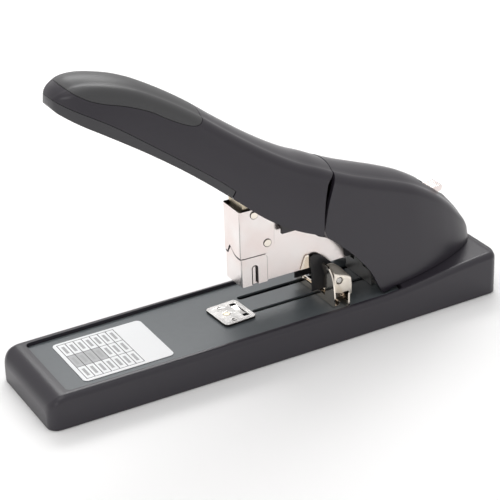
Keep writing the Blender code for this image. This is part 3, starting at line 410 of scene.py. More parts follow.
def arch(half_bottom, half_top, height, corner, crown):
    """Round-topped cross-section as (y, h) from one foot over the top to the other."""
    side_top = height - crown - corner
    near = [(half_bottom, 0.0)]
    for k in range(1, 11):
        share = k / 10
        bow = 0.5 * math.sin(math.pi * share) * min(1.0, height / 30)
        near.append((half_bottom + (half_top - half_bottom) * share + bow, side_top * share))
    for k in range(1, 9):
        angle = math.radians(90) * k / 9
        near.append((half_top - corner * (1 - math.cos(angle)), side_top + corner * math.sin(angle)))
    inner = half_top - corner
    for share in (1.0, 0.85, 0.7, 0.55, 0.4, 0.25, 0.12):
        near.append((inner * share, height - crown * share**2))
    far = [(y, h) for y, h in reversed(near)]
    return [(-y, h) for y, h in near] + [(0.0, height)] + far


# ---------------------------------------------------------------- materials


def set_inputs(node, values):
    for name, value in values.items():
        node.inputs[name].default_value = value


class Look:
    """A Principled material whose colour, roughness and bump come from procedural nodes."""

    def __init__(self, name, colour, roughness, metallic=0.0):
        self.material = bpy.data.materials.new(name)
        self.material.use_nodes = True
        self.tree = self.material.node_tree
        self.shader = self.tree.nodes["Principled BSDF"]
        set_inputs(self.shader, {"Base Color": (*colour, 1), "Roughness": roughness, "Metallic": metallic})
        self.colour = colour
        self.roughness = roughness
        self.place = self.tree.nodes.new("ShaderNodeTexCoord").outputs["Object"]
        self.normal = None

    def node(self, kind, **settings):
        made = self.tree.nodes.new(kind)
        for key, value in settings.items():
            setattr(made, key, value)
        return made

    def link(self, a, b):
        self.tree.links.new(a, b)

    def noise(self, scale, detail=3.0, stretch=(1, 1, 1), roughness=0.5):
        """Noise of so many features to the metre, which can be drawn out along an axis."""
        mapping = self.node("ShaderNodeMapping")
        set_inputs(mapping, {"Scale": stretch})
        self.link(self.place, mapping.inputs["Vector"])
        made = self.node("ShaderNodeTexNoise")
        set_inputs(made, {"Scale": scale, "Detail": detail, "Roughness": roughness})
        self.link(mapping.outputs["Vector"], made.inputs["Vector"])
        return made.outputs["Fac"]

    def spread(self, value, low, high):
        """Noise spread softly over the range from low to high."""
        made = self.node("ShaderNodeMapRange", interpolation_type="SMOOTHSTEP")
        set_inputs(made, {"From Min": 0.2, "From Max": 0.8, "To Min": low, "To Max": high})
        self.link(value, made.inputs["Value"])
        return made.outputs["Result"]

    def vary_roughness(self, value, amount):
        result = self.spread(value, self.roughness - amount, self.roughness + amount)
        self.link(result, self.shader.inputs["Roughness"])

    def vary_colour(self, value, share, other=None):
        mix = self.node("ShaderNodeMix", data_type="RGBA")
        dark = other or tuple(c * (1 - share) for c in self.colour)
        light = tuple(min(c * (1 + share), 1) for c in self.colour)
        set_inputs(mix, {"A": (*dark, 1), "B": (*light, 1)})
        self.link(self.spread(value, 0, 1), mix.inputs["Factor"])
        self.link(mix.outputs["Result"], self.shader.inputs["Base Color"])

    def bump(self, value, height):
        """Raises the surface by up to height millimetres, on top of any bump before it."""
        made = self.node("ShaderNodeBump")
        set_inputs(made, {"Strength": 1.0, "Distance": height * MM})
        self.link(value, made.inputs["Height"])
        if self.normal:
            self.link(self.normal, made.inputs["Normal"])
        self.normal = made.outputs["Normal"]
        self.link(self.normal, self.shader.inputs["Normal"])


def moulded(name, colour, roughness, grain, height):
    """Moulded plastic: fine spark-eroded grain and a faint unevenness of the wall."""
    look = Look(name, colour, roughness)
    look.bump(look.noise(35, 1), 0.02)
    look.bump(look.noise(grain, 2), height)
    return look.material


def rolled(name, colour, roughness, line=None, height=0.0008, wear=0.06, cloud=None, metallic=1.0):
    """Bare or plated metal: long rolling lines, soft smudges and small changes of tone."""
    look = Look(name, colour, roughness, metallic)
    look.vary_colour(look.noise(45, 3), 0.04, cloud)
    look.vary_roughness(look.noise(140, 4, roughness=0.65), wear)
    look.bump(look.noise(30, 1), 0.012)
    if line:
        look.bump(look.noise(1, 2, line), height)
    return look.material


def painted():
    """Blue-grey paint on the pressed bed: faint orange peel under a semi-gloss."""
    look = Look("bed_paint", (0.088, 0.1, 0.108), 0.34)
    look.vary_colour(look.noise(25, 3), 0.05)
    look.vary_roughness(look.noise(220, 3), 0.06)
    look.bump(look.noise(60, 1), 0.02)
    return look.material


BLACK_PLASTIC = (0.0225, 0.0195, 0.0265)
PLATING_LINES = (60, 2500, 2500)

BLACK = moulded("moulded_black", BLACK_PLASTIC, 0.31, 2600, 0.0006)
TRAY = moulded("moulded_black_tray", BLACK_PLASTIC, 0.31, 2600, 0.0006)
GRIP = moulded("soft_grip", (0.046, 0.046, 0.048), 0.42, 2600, 0.0012)
UNDER = moulded("moulded_charcoal", (0.042, 0.041, 0.045), 0.38, 5200, 0.003)
INNER = moulded("moulded_inner_black", (0.02, 0.02, 0.022), 0.45, 5200, 0.003)
RUBBER = moulded("foot_rubber_look", (0.018, 0.018, 0.018), 0.8, 3000, 0.01)
PAINT = painted()
NICKEL = rolled(
    "bright_nickel_plate", (0.82, 0.79, 0.775), 0.2, PLATING_LINES, 0.0005, cloud=(0.8, 0.69, 0.66)
)
ANVIL_PLATE = rolled("anvil_nickel", (0.68, 0.665, 0.65), 0.2, PLATING_LINES, 0.0004)
# Near-black painted shade: edge faces of plated pieces, and dark plates and rims set behind seams and windows
# where only shade falls.
PAINTED_SHADE = rolled("painted_edge_shade", (0.06, 0.055, 0.055), 0.45)
SHINY = rolled("polished_nickel", (0.88, 0.81, 0.72), 0.12, None, wear=0.04)
STEEL = rolled("plain_steel_sheet", (0.52, 0.51, 0.5), 0.36, (2200, 60, 2200), 0.0015)
PIN_STEEL = rolled("turned_steel", (0.6, 0.58, 0.55), 0.2)
ZINC = rolled("passivated_zinc", (0.66, 0.58, 0.44), 0.36, (40, 40, 3000), 0.001)
LOCK_CAP_LOOK = rolled("lock_cap_plate", (0.95, 0.88, 0.78), 0.36, metallic=0.75)
DARK_STEEL = rolled("blackened_steel", (0.07, 0.068, 0.07), 0.4)
SPRING = rolled("spring_wire", (0.36, 0.35, 0.35), 0.2)


def printed_label():
    """White sticker with a plain printed table: a grey bar in each cell, and four shaded cells."""
    paper, print_colour = (0.78, 0.79, 0.8, 1), (0.035, 0.035, 0.04, 1)
    left, right, near, far = 27.6, 62.0, -20.6, 20.0
    columns, rows, line_width, margin = 7, 3, 0.5, 0.2
    bar_x, bar_y, bar_ink = (0.36, 0.72), (0.22, 0.82), 0.6
    shaded_columns, shaded_rows, shade_ink = (0, 4), (1, 2), 0.5
    look = Look("label_print", (0.82, 0.83, 0.84), 0.42)
    apart = look.node("ShaderNodeSeparateXYZ")
    look.link(look.place, apart.inputs["Vector"])

    def maths(operation, a, b=None):
        made = look.node("ShaderNodeMath", operation=operation)
        for socket, value in zip(made.inputs, (a, b)):
            if isinstance(value, (int, float)):
                socket.default_value = value
            elif value is not None:
                look.link(value, socket)
        return made.outputs["Value"]

    def between(value, low, high):
        return maths("MULTIPLY", maths("GREATER_THAN", value, low), maths("LESS_THAN", value, high))

    def within(a, a_range, b, b_range):
        return maths("MULTIPLY", between(a, *a_range), between(b, *b_range))

    x = maths("ADD", maths("MULTIPLY", apart.outputs["X"], 1000), BASE_LENGTH / 2)
    y = maths("MULTIPLY", apart.outputs["Y"], 1000)
    column, row = (right - left) / columns, (far - near) / rows
    inside = within(x, (left - margin, right + margin), y, (near - margin, far + margin))
    along = maths("DIVIDE", maths("SUBTRACT", x, left - line_width / 2), column)
    across = maths("DIVIDE", maths("SUBTRACT", y, near - line_width / 2), row)
    cell_x, cell_y = maths("FRACT", along), maths("FRACT", across)
    line = maths("LESS_THAN", cell_x, line_width / column)
    line = maths("MAXIMUM", line, maths("LESS_THAN", cell_y, line_width / row))
    bar = maths("MULTIPLY", within(cell_x, bar_x, cell_y, bar_y), bar_ink)
    shade = maths("MULTIPLY", within(along, shaded_columns, across, shaded_rows), shade_ink)
    ink = maths("MULTIPLY", inside, maths("MAXIMUM", line, maths("MAXIMUM", bar, shade)))
    mix = look.node("ShaderNodeMix", data_type="RGBA")
    set_inputs(mix, {"A": paper, "B": print_colour})
    look.link(ink, mix.inputs["Factor"])
    look.link(mix.outputs["Result"], look.shader.inputs["Base Color"])
    look.vary_roughness(look.noise(300, 2), 0.04)
    look.bump(look.noise(40, 1), 0.02)
    return look.material


LABEL = printed_label()


# ---------------------------------------------------------------- base


def deck_top(x):
    return RIM_TOP + (DECK_REAR_TOP - RIM_TOP) * ramp(x, 205, 292)


def base_half_width(x):
    bulge = BASE_HALF_WIDTH - 1.0 + 1.0 * math.sin(math.pi * min(max(x, 0), 300) / 300) ** 0.8
    short = BASE_CORNER - min(x, BASE_LENGTH - x)
    if short <= 0:
        return bulge
    return bulge - BASE_CORNER + math.sqrt(max(BASE_CORNER**2 - short**2, 0))


def base_front_drop(x):
    if x >= FRONT_ROUND:
        return 0.0
    return FRONT_DROP * (1 - math.sqrt(max(1 - ((FRONT_ROUND - x) / FRONT_ROUND) ** 2, 0)))


def bed_outline(gap, step, rear):
    """The bed seen from above, grown by gap; it narrows at step and ends at rear, under the housing."""
    half_width = PLATE_HALF_WIDTH + gap
    half = [
        (PLATE_FRONT - gap, half_width - 1.9, 3),
        (120, half_width, 0),
        (step, half_width, 2),
        (step + 2, 20.7 + gap, 2),
        (rear, 17.7 + gap, 3),
    ]
    return rounded(mirrored(half))


def make_tray():
    """Moulded tray: soft-shouldered sides, round front end, recess for the bed and a hollow underside."""
    ends = [FRONT_ROUND * (1 - math.cos(math.radians(90) * k / 18)) for k in range(19)]
    stations = ends + [16, 60, 105, 150, 195] + list(range(205, 280, 6))
    quarter = [math.sin(math.radians(90) * k / 12) for k in range(13)]
    stations += [BASE_LENGTH - BASE_CORNER * (1 - share) for share in quarter]
    rings = []
    for x in stations:
        half = base_half_width(x)
        top = deck_top(x) - base_front_drop(x) - 0.8 * ramp(x, 286, 290)
        stretched = x * (1 + 2 * BASE_OVERHANG / BASE_LENGTH) - BASE_OVERHANG
        profile = [(half - 0.4, TRAY_BOTTOM), (half - 0.12, TRAY_BOTTOM + 0.3), (half, TRAY_BOTTOM + 1.0)]
        for k in range(11):
            angle = math.radians(90) * k / 10
            profile.append((half - 4.2 + 4.0 * math.cos(angle), top - 3.2 + 3.2 * math.sin(angle)))
        ring = [(stretched, y, z) for y, z in profile]
        rings.append(ring + [(a, -y, z) for a, y, z in reversed(ring)])
    tray = solid_loft("tray", rings)
    floor = PLATE_TOP - PLATE_THICKNESS - GAP
    recess = bed_outline(GAP, PLATE_STEP + 0.5, PLATE_REAR + PLATE_REAR_GAP)
    boolean(tray, slab("bed_cutter", FLAT, [recess], floor, CUT))
    underside = mirrored([(3.5, 29.5, 8), (150, 31.5, 0), (286, 29.5, 8)])
    boolean(tray, slab("underside_cutter", FLAT, [rounded(underside)], -1, floor - TRAY_FLOOR))
    window = rectangle((SLOT_FRONT - 3, SLOT_REAR + 1), (-12, 21), 2)
    boolean(tray, slab("keeper_window_cutter", FLAT, [window], 8, 30))
    boolean(tray, cylinder("anvil_well_cutter", (ANVIL_X, ANVIL_Y, 8), (ANVIL_X, ANVIL_Y, 30), 4.2))
    finish_piece(tray, TRAY, "black_plastic", "base", "base_tray", edge=0.35)


def make_bed():
    """Painted steel bed with rolled edges and two slots, and the sticker on it."""
    slots = []
    for y, half in ((FAR_SLOT_Y, 2.0), (NEAR_SLOT_Y, 1.6)):
        slots.append(rectangle((SLOT_FRONT, SLOT_REAR), (y - half, y + half), half * 0.98))
    outlines = [bed_outline(0, PLATE_STEP, PLATE_REAR), *slots, circle(ANVIL_X, ANVIL_Y, 2.6)]
    bed = slab("bed", FLAT, outlines, PLATE_TOP - PLATE_THICKNESS, PLATE_TOP)
    finish_piece(bed, PAINT, "plate_paint", "base", "base_plate", edge=0.25)
    sticker = rectangle(LABEL_X, LABEL_Y, 3, 12)
    label = slab("sticker", FLAT, [sticker], PLATE_TOP + 0.1, PLATE_TOP + 0.4)
    finish_piece(label, LABEL, "label_paper", "base", "label", edge=0.08)


def make_anvil():
    """Plated anvil with clinching pockets and groove, pinning crescents, and its tan rivet."""
    low, high = PLATE_TOP + 0.2, ANVIL_TOP
    x, y = ANVIL_X, ANVIL_Y
    pocket_x = (x + 6.7, x + 10.4)
    nib_x, nib_outer, nib_inner = x + 0.4, 1.5, 0.8
    scoop_radius, scoop_depth = 28.0, 0.6
    holes = []
    for side in (-1, 1):
        middle = y + 0.2 + side * 6.9
        holes.append(rectangle(pocket_x, (middle - 1.4, middle + 1.4), 0.3, 3))
        arc = [math.radians(60 + 10 * k) for k in range(25)]
        rim = [(nib_outer, t) for t in arc] + [(nib_inner, t) for t in reversed(arc)]
        holes.append([(nib_x + r * math.cos(t), y + side * 8.0 + r * math.sin(t)) for r, t in rim])
    outline = rectangle((x - 7.2, x + 13.2), (y - 11.5, y + 11.9), 2.6)
    anvil = slab("clinch_plate", FLAT, [outline, circle(x, y, 2.15), *holes], low, high)
    start, end = ((edge, y + 0.2, high + scoop_radius - scoop_depth) for edge in pocket_x)
    boolean(anvil, cylinder("scoop_cutter", start, end, scoop_radius, 256))
    round_edges(anvil, 0.16)
    head = [(0, 1.95), (1.1, 1.95), (1.28, 1.8), (1.33, 1.45), (1.3, 0.7)]
    rivet = turned("clinch_rivet", (x, y, high - 1.1), (0, 0, 1), head)
    turn = Matrix.Translation(point(x, y, 0)) @ Matrix.Rotation(math.radians(3.5), 4, "Z")
    turn = turn @ Matrix.Translation(-point(x, y, 0))
    anvil.data.transform(turn)
    finish_piece(anvil, ANVIL_PLATE, "nickel", "anvil_plate", "anvil")
    # Painted shade on the anvil's side faces, so it shows a dark edge all round.
    paint_edge_shade(anvil, lambda normal, x: abs(normal.z) < 0.4)
    finish_piece(rivet, ZINC, "zinc", "anvil_plate")


def make_bracket():
    """Steel bracket behind the mouth of the housing: notched lip, floor and two cheeks."""
    low = PLATE_TOP + GAP
    top = low + 1.8
    cheek = [
        (216, low, 0),
        (262, low, 2),
        (254, PIVOT_Z + 7, 6),
        (238, PIVOT_Z + 7, 6),
        (230, 28, 4),
        (216, 24, 2),
    ]
    hole = circle(PIVOT_X, PIVOT_Z, PIVOT_RADIUS + GAP)
    bracket = box("hinge_bracket", (213.2, 262), (-BRACKET_INNER - 0.4, BRACKET_INNER + 0.4), (low, top))
    for name, near, far in each_side(BRACKET_INNER, BRACKET_OUTER):
        boolean(bracket, slab("bracket_cheek_" + name, SIDE, [rounded(cheek), hole], near, far), "UNION")
    lip = [(-13.4, low), (13.4, low), (13.4, 27.5), (9.5, 28.8), (9.5, 26.6), (4.5, 26.6), (4.5, 28.8)]
    lip += [(-4.5, 28.8), (-4.5, 26.6), (-9.5, 26.6), (-9.5, 28.8), (-13.4, 27.5)]
    boolean(bracket, slab("bracket_lip", FRONT, [lip], 213.2, 215.0), "UNION")
    for x, y in ((222, -9.6), (222, 9.6), (254, -9.6), (254, 9.6)):
        boolean(bracket, cylinder("bolt_cutter", (x, y, 10), (x, y, 30), 2.3))
    finish_piece(bracket, STEEL, "steel", "base", "pivot_bracket", edge=0.2)


# ---------------------------------------------------------------- rear housing

HOUSING_FOOT = 14.0
HOUSING_STATIONS = [
    # x, half width at the foot, half width at the shoulder, height of the crest
    (172.0, 26.4, 21.0, 108.2),
    (186.0, 26.8, 21.0, 101.6),
    (200.0, 27.0, 21.0, 95.3),
    (214.0, 27.2, 20.6, 89.9),
    (228.0, 27.0, 20.0, 84.6),
    (242.0, 26.4, 19.2, 78.4),
    (256.0, 24.6, 17.4, 69.8),
    (267.0, 21.8, 15.2, 61.3),
    (276.0, 18.6, 12.6, 52.0),
    (283.0, 14.4, 9.4, 43.0),
    (287.2, 9.4, 6.0, 35.4),
    (289.0, 4.6, 2.8, 29.4),
]
HOUSING_SHOULDER = [(191.8, 102), (189.4, 100.6), (187.4, 98.9), (185.2, 96), (183.4, 91.6)]
HOUSING_FRONT = [(200, 120), *HOUSING_SHOULDER, (179.5, 80.9), (177.2, 71.6), (176, 67.2)]
HOUSING_MOUTH = [(177.7, 62.4), (184.3, 57), (192.3, 49.6), (200.3, 40.9), (206.5, 32), (210.2, 24)]
HOUSING_MOUTH += [(213.5, 18.4)]


def housing_solid(name, wall=0.0):
    """The space inside the rear cover's outline, less a wall over the top and sides."""
    rings = []
    low = HOUSING_FOOT - wall
    for x, foot, shoulder, crest in smooth(HOUSING_STATIONS, 8):
        if shoulder < 1.7 * wall:
            break  # too narrow to hold a wall
        height = crest - wall - low
        corner = min(7.0, shoulder * 0.45, height * 0.35, shoulder - wall)
        crown = min(3.0, height * 0.08)
        section = arch(foot - wall, shoulder - wall, height, corner, crown)
        rings.append([(x, y, low + h) for y, h in section])
    return solid_loft(name, rings)


def make_housing():
    """Domed rear cover with an arched mouth and a slot for the release lever."""
    skin = housing_solid("rear_dome")
    foot = [(x, deck_top(x) + GAP) for x in range(222, 296, 4)]
    outline = smooth(HOUSING_FRONT, 4) + smooth(HOUSING_MOUTH, 4) + foot + [(295, 120)]
    trim(skin, outline)
    boolean(skin, housing_solid("dome_hollow", SHELL))
    boolean(skin, box("release_slot_cutter", (252.5, 276), (-5.6, 5.6), (56.4, 80)))
    finish_piece(skin, BLACK, "black_plastic", "base", "rear_housing", edge=0.3, angle=45)


# ---------------------------------------------------------------- magazine arm


def make_arm():
    """Folded steel arm, its two cheeks joined by a web."""
    cheek = [
        (131.6, ARM_BOTTOM, 0),
        (238, ARM_BOTTOM, 6),
        (242, PIVOT_Z - 8, 3),
        (254, PIVOT_Z - 8, 7.5),
        (254, PIVOT_Z + 8, 7.5),
        (236, 61, 6),
        (182, 67, 8),
        (164, 78, 4),
        (151.7, 79.5, 2),
        (151.7, 67.5, 2),
        (131.6, 67.5, 2),
    ]
    holes = [circle(PIVOT_X, PIVOT_Z, PIVOT_RADIUS + GAP), circle(*HEAD_PIN, 1.8)]
    inner = ARM_OUTER - ARM_SHEET
    arm = cheek_pair("arm_frame", [rounded(cheek), *holes], inner, ARM_OUTER)
    boolean(arm, box("arm_web", (160, 208), (-inner - 0.5, inner + 0.5), (62.6, 63.8)), "UNION")
    finish_piece(arm, NICKEL, "nickel", "magazine_arm", "magazine_arm", edge=0.14)


def channel(name, front, rear, low, high, outer, sheet):
    """A sheet channel round the head, open at the back."""
    inner = outer - sheet
    half = [(front, outer, 1.3), (rear, outer, 0), (rear, inner, 0), (front + sheet, inner, 0.4)]
    return slab(name, FLAT, [rounded(mirrored(half), 6)], low, high)


FRONT_SEAM = [(8.4, 56.0), (6.8, 55.5), (5.6, 55.7), (4.0, 58.7), (3.0, 59.9), (2.0, 59.8), (-0.4, 57.8)]
FRONT_SEAM += [(-2.6, 56.6), (-5.5, 56.0), (-8.4, 56.0)]
FINE_SEAM = smooth(FRONT_SEAM, 5)


def make_head():
    """Bright cover of the head with its S-shaped front seam, and the two headed pins; painted shade on the
    cover's edges and the pins' rims, and in dark plates behind its rear edge.
    """
    outer = HEAD_OUTER + 0.2
    cover = channel("head_shroud", HEAD_FRONT, COVER_REAR, 50, COVER_TOP, outer, 1.1)
    side = [
        (120, COVER_TOP, 0),
        (120, 50, 0),
        (131.4, 50, 0),
        (131.4, COVER_BOTTOM, 0),
        (COVER_REAR, COVER_BOTTOM - 0.3, 4.5),
        (COVER_REAR, 82, 2),
        (139, COVER_TOP - 0.4, 0),
    ]
    trim(cover, rounded(side))
    below = [(12, 45), (12, COVER_BOTTOM - 0.1)] + [(y, z + 0.3) for y, z in FINE_SEAM]
    below += [(-12, COVER_BOTTOM - 0.1), (-12, 45)]
    boolean(cover, slab("cover_seam_cutter", FRONT, [below], 120, 131.45))
    for x, z in (HEAD_PIN, UPPER_PIN):
        boolean(cover, cylinder("pin_way_cutter", (x, -20, z), (x, 20, z), 1.8))
    finish_piece(cover, NICKEL, "nickel", "magazine_arm", "head_cover", edge=0.3)
    # Painted shade on the cover's top, bottom and rear edges and round the window, so its seams read dark.
    paint_edge_shade(cover, edge_shade_faces)
    # Dark plates between arm and cover: painted shade along the cover's rear edge.
    shade_plate = rounded([(140, 55.1, 0), (151.9, 55.0, 5.0), (151.9, 80.0, 1), (140, 80.0, 0)])
    for name, low, high in each_side(*SHADE_PLATE_Y):
        plate = slab("head_shade_plate_" + name, SIDE, [shade_plate, circle(*HEAD_PIN, 2.0)], low, high)
        finish_piece(plate, PAINTED_SHADE, "nickel", "magazine_arm")
    for name, (x, z) in (("lower", HEAD_PIN), ("upper", UPPER_PIN)):
        reach = outer + 0.75
        head = [(0, 1.5), (0.05, 2.0), (0.2, 2.35), (0.42, 2.5), (0.56, 2.5), (0.57, 1.5)]
        profile = head + [(2 * reach - a, r) for a, r in reversed(head)]
        pin = turned("cover_pin_" + name, (x, -reach, z), (0, 1, 0), profile)
        finish_piece(pin, SHINY, "nickel", "magazine_arm", "head_pin_" + name)
        # Painted shade round the rims of the pin heads.
        paint_edge_shade(pin, lambda normal, x: abs(normal.y) < 0.85)


def make_driver():
    """Cast driver block with its pin slot and its wider crown."""
    top = DRIVE_PIN_Z + 4.4
    profile = [(DRIVER_FRONT, 72), (DRIVER_NECK, 72), (DRIVER_NECK, 99.2)]
    profile += [(DRIVER_REAR, 99.2), (DRIVER_REAR, top), (DRIVER_FRONT, top)]
    reach = DRIVE_PIN_RADIUS + 0.45
    slot_x = (DRIVE_SLOT_FRONT - reach, DRIVE_PIN_X + reach)
    slot = rectangle(slot_x, (DRIVE_PIN_Z - reach, DRIVE_PIN_Z + reach), reach * 0.95)
    block = slab("drive_block", SIDE, [profile, slot], -STAPLE_HALF_WIDTH, STAPLE_HALF_WIDTH)
    crown = slab("drive_crown", SIDE, [rectangle((DRIVER_FRONT, DRIVER_NECK), (85.4, 98.4))], -7.8, 7.8)
    boolean(block, crown, "UNION")
    finish_piece(block, ZINC, "zinc", "driver", "driver_block", edge=0.3)


def make_magazine():
    """Front sleeve, with painted shade on its edges and in dark pieces: a strip behind its seam, rims round its
    windows and plates behind its rear edge.
    """
    rear = SLEEVE_REAR
    sleeve = channel("front_sleeve", SLEEVE_FRONT, rear, 37.9, 62, HEAD_OUTER, HEAD_SHEET)
    side = [
        (120, 30),
        (rear + 1, 30),
        (rear + 1, 53),
        (rear, 53),
        (rear - 0.6, COVER_BOTTOM - 0.9),
        (131.6, COVER_BOTTOM - 0.7),
        (131.6, 62),
        (120, 62),
    ]
    trim(sleeve, side)
    ledge = COVER_BOTTOM - 0.7
    tongue = [(20, 30), (20, ledge), (8.4, ledge)] + [(y, z - 0.2) for y, z in FINE_SEAM]
    tongue += [(-8.4, ledge), (-20, ledge), (-20, 30)]
    boolean(sleeve, slab("tongue_trim", FRONT, [tongue], 120, 160), "INTERSECT")
    window = window_outline((136.6, 140.4), (30, 49.9), 1.85)
    boolean(sleeve, slab("window_cutter", SIDE, [window], -CUT, CUT))
    finish_piece(sleeve, NICKEL, "nickel", "magazine", "magazine_sleeve", edge=0.24)
    # Painted shade on the sleeve's top, bottom and rear edges and round its window.
    paint_edge_shade(sleeve, edge_shade_faces)
    # A dark strip behind the S-seam: painted shade so the gap reads as a dark line.
    lip = [(y, z + 0.2) for y, z in FINE_SEAM] + [(y + 0.3, z - 1.35) for y, z in reversed(FINE_SEAM)]
    lip = slab("seam_shade_strip", FRONT, [lip], SLEEVE_FRONT - 0.12, SLEEVE_FRONT + 0.1)
    finish_piece(lip, PAINTED_SHADE, "nickel", "magazine")
    # Dark rims round the windows and plates behind the rear edge: painted shade.
    rim = window_outline((136.4, 140.6), (38.4, 50.1), 2.05)
    hole = window_outline((137.0, 140.0), (38.3, 49.5), 1.45)
    rear_shade_plate = rounded([(143, 38.6, 0), (rear + 0.7, 38.6, 0), (rear + 0.7, 53.6, 0.8), (143, 53.6, 0)], 4)
    shade_rims = each_side(HEAD_OUTER - 0.3, HEAD_OUTER + 0.04)
    for (name, rim_low, rim_high), (_, low, high) in zip(shade_rims, each_side(*SHADE_PLATE_Y)):
        edge = slab("window_shade_rim_" + name, SIDE, [rim], rim_low, rim_high)
        boolean(edge, slab("rim_hole_cutter", SIDE, [hole], -CUT, CUT))
        finish_piece(edge, PAINTED_SHADE, "nickel", "magazine")
        shade_plate = slab("sleeve_shade_plate_" + name, SIDE, [rear_shade_plate], low, high)
        finish_piece(shade_plate, PAINTED_SHADE, "nickel", "magazine")


def strap(name, x, low, high, outline, inner, sheet):
    """A U-shaped piece across the magazine: two cheeks joined by a floor or a roof."""
    piece = cheek_pair(name, [outline], inner, inner + sheet)
    boolean(piece, box(name + "_floor", x, (-inner - sheet * 0.5, inner + sheet * 0.5), (low, high)), "UNION")
    return piece


def make_arm_fittings():
    """Moulded cover over the rear of the arm, and the upright lug on its near cheek."""
    front = [(198.4, 38.9), (197.5, 42.9), (195.7, 46.7), (192.9, 49.9)]
    front += [(189.1, 52.7), (184.5, 54.9), (179.5, 57.3), (176.5, 61)]
    cheek = smooth(front, 4) + [(178, 70.6), (213, 67.6), (214, 38.6)]
    cover = strap("arm_cover", (179.4, 213.4), 69.0, 70.0, cheek, ARM_OUTER + GAP, 0.85)
    finish_piece(cover, INNER, "black_plastic", "magazine_arm", "arm_shroud", edge=0.2)
    outline = [(168.4, 38.4, 0), (174.2, 38.4, 0), (174.2, 45.6, 0)]
    outline += [(173.4, 46.9, 0.8), (171.6, 46.4, 1), (170.6, 44.4, 0)]
    inner = ARM_OUTER + GAP
    lug = slab("arm_lug", SIDE, [rounded(outline)], -inner - 0.6, -inner)
    finish_piece(lug, SHINY, "nickel", "magazine_arm", "side_lug", edge=0.14)


def make_release():
    """Release lever, whose tail comes out through the rear cover."""
    lever = [
        (225.8, 47, 0.4),
        (228, 47, 0.4),
        (229, 53.6, 1),
        (246, 53.4, 3),
        (260, 58.6, 3),
        (268.6, 61.6, 1),
        (269.6, 65.2, 1.2),
        (258.5, 64.2, 3),
        (246, 59.6, 3),
        (225.8, 60, 2),
    ]
    tail = slab("release_tail", SIDE, [rounded(lever), circle(234, 57, 1.7)], -4.6, 4.6)
    finish_piece(tail, NICKEL, "nickel", "release", "release_lever", edge=1.0, segments=4)


# ---------------------------------------------------------------- handle

HANDLE_STATIONS = [
    # foot x, foot z, crest x, crest z, half width at the foot, half width at the shoulder
    (26.8, 169.6, 27.0, 172.3, 1.6, 1.4),
    (27.8, 167.6, 28.1, 175.0, 7.6, 7.0),
    (31.6, 164.8, 32.2, 178.4, 12.6, 11.4),
    (38.2, 160.5, 40.4, 181.5, 16.8, 15.0),
    (47.0, 155.2, 54.0, 180.2, 19.6, 17.0),
    (58.4, 147.9, 70.0, 175.0, 20.8, 17.8),
    (73.0, 138.0, 87.0, 165.7, 21.4, 18.2),
    (90.0, 125.6, 104.0, 154.4, 22.0, 18.6),
    (107.0, 112.0, 121.0, 141.3, 22.6, 19.0),
    (124.0, 97.4, 137.5, 129.1, 23.4, 19.6),
    (139.0, 84.6, 151.6, 119.6, 24.4, 20.2),
    (156.0, 73.8, 165.6, 111.3, 25.4, 20.6),
    (172.0, 66.6, 178.4, 105.3, 26.2, 21.0),
    (186.0, 60.8, 189.0, 99.8, 26.6, 21.0),
]
HANDLE_REAR_EDGE = [(174.1, 66.5), (175.2, 76.8), (177.2, 86), (180, 94), (182.8, 97)]
HANDLE_REAR_EDGE += [(186.8, 99.2), (189.6, 101.4)]


def handle_rings(inset=0.0, floor=0.0):
    """Cross-sections of the handle from the nose back, each in its own tilted plane."""
    rings = []
    for foot_x, foot_z, crest_x, crest_z, foot, shoulder in smooth(HANDLE_STATIONS, 8):
        up = Vector((crest_x - foot_x, crest_z - foot_z))
        height = up.length
        if height < 2 + 4 * floor:
            continue  # too low to hold a wall
        up.normalize()
        corner = min(6.5, shoulder * 0.5, height * 0.3)
        crown = min(2.6, height * 0.09)
        section = arch(foot - inset, shoulder - inset, height - inset - floor, corner, crown)
        rings.append([(foot_x + up.x * (h + floor), y, foot_z + up.y * (h + floor)) for y, h in section])
    return rings


def handle_solid(name, wall=0.0):
    """The space inside the handle's outline, less a wall all round."""
    return solid_loft(name, handle_rings(wall, wall))


def seam_outline(shift):
    """Side view of the seam between the shell and the underside cover, let down by shift."""
    seam = [(10, 190), (18.4, 181.4), (29.9, 172.1), (52.2, 159), (76.9, 140.9), (107.3, 117.6), (121.4, 105.4)]
    return [(x, z - shift) for x, z in smooth(seam, 6)]


def grip_outline(inset):
    """Side view of the rubber grip: low at the nose, rising to the rear where it ends in a round."""
    lower = [(20, 192), (32.9, 179.6), (41.9, 173.4), (49.7, 170.0), (62.5, 166.0), (75.4, 160.3)]
    lower += [(85.0, 154.2), (95.0, 148.6), (101.7, 146.4), (106.2, 147.6), (108.6, 150.8), (112, 160)]
    fine = smooth(lower, 6)
    return [(x - inset * ramp(x, 98, 110), z + inset) for x, z in fine] + [(112 - inset, 215), (20, 215)]


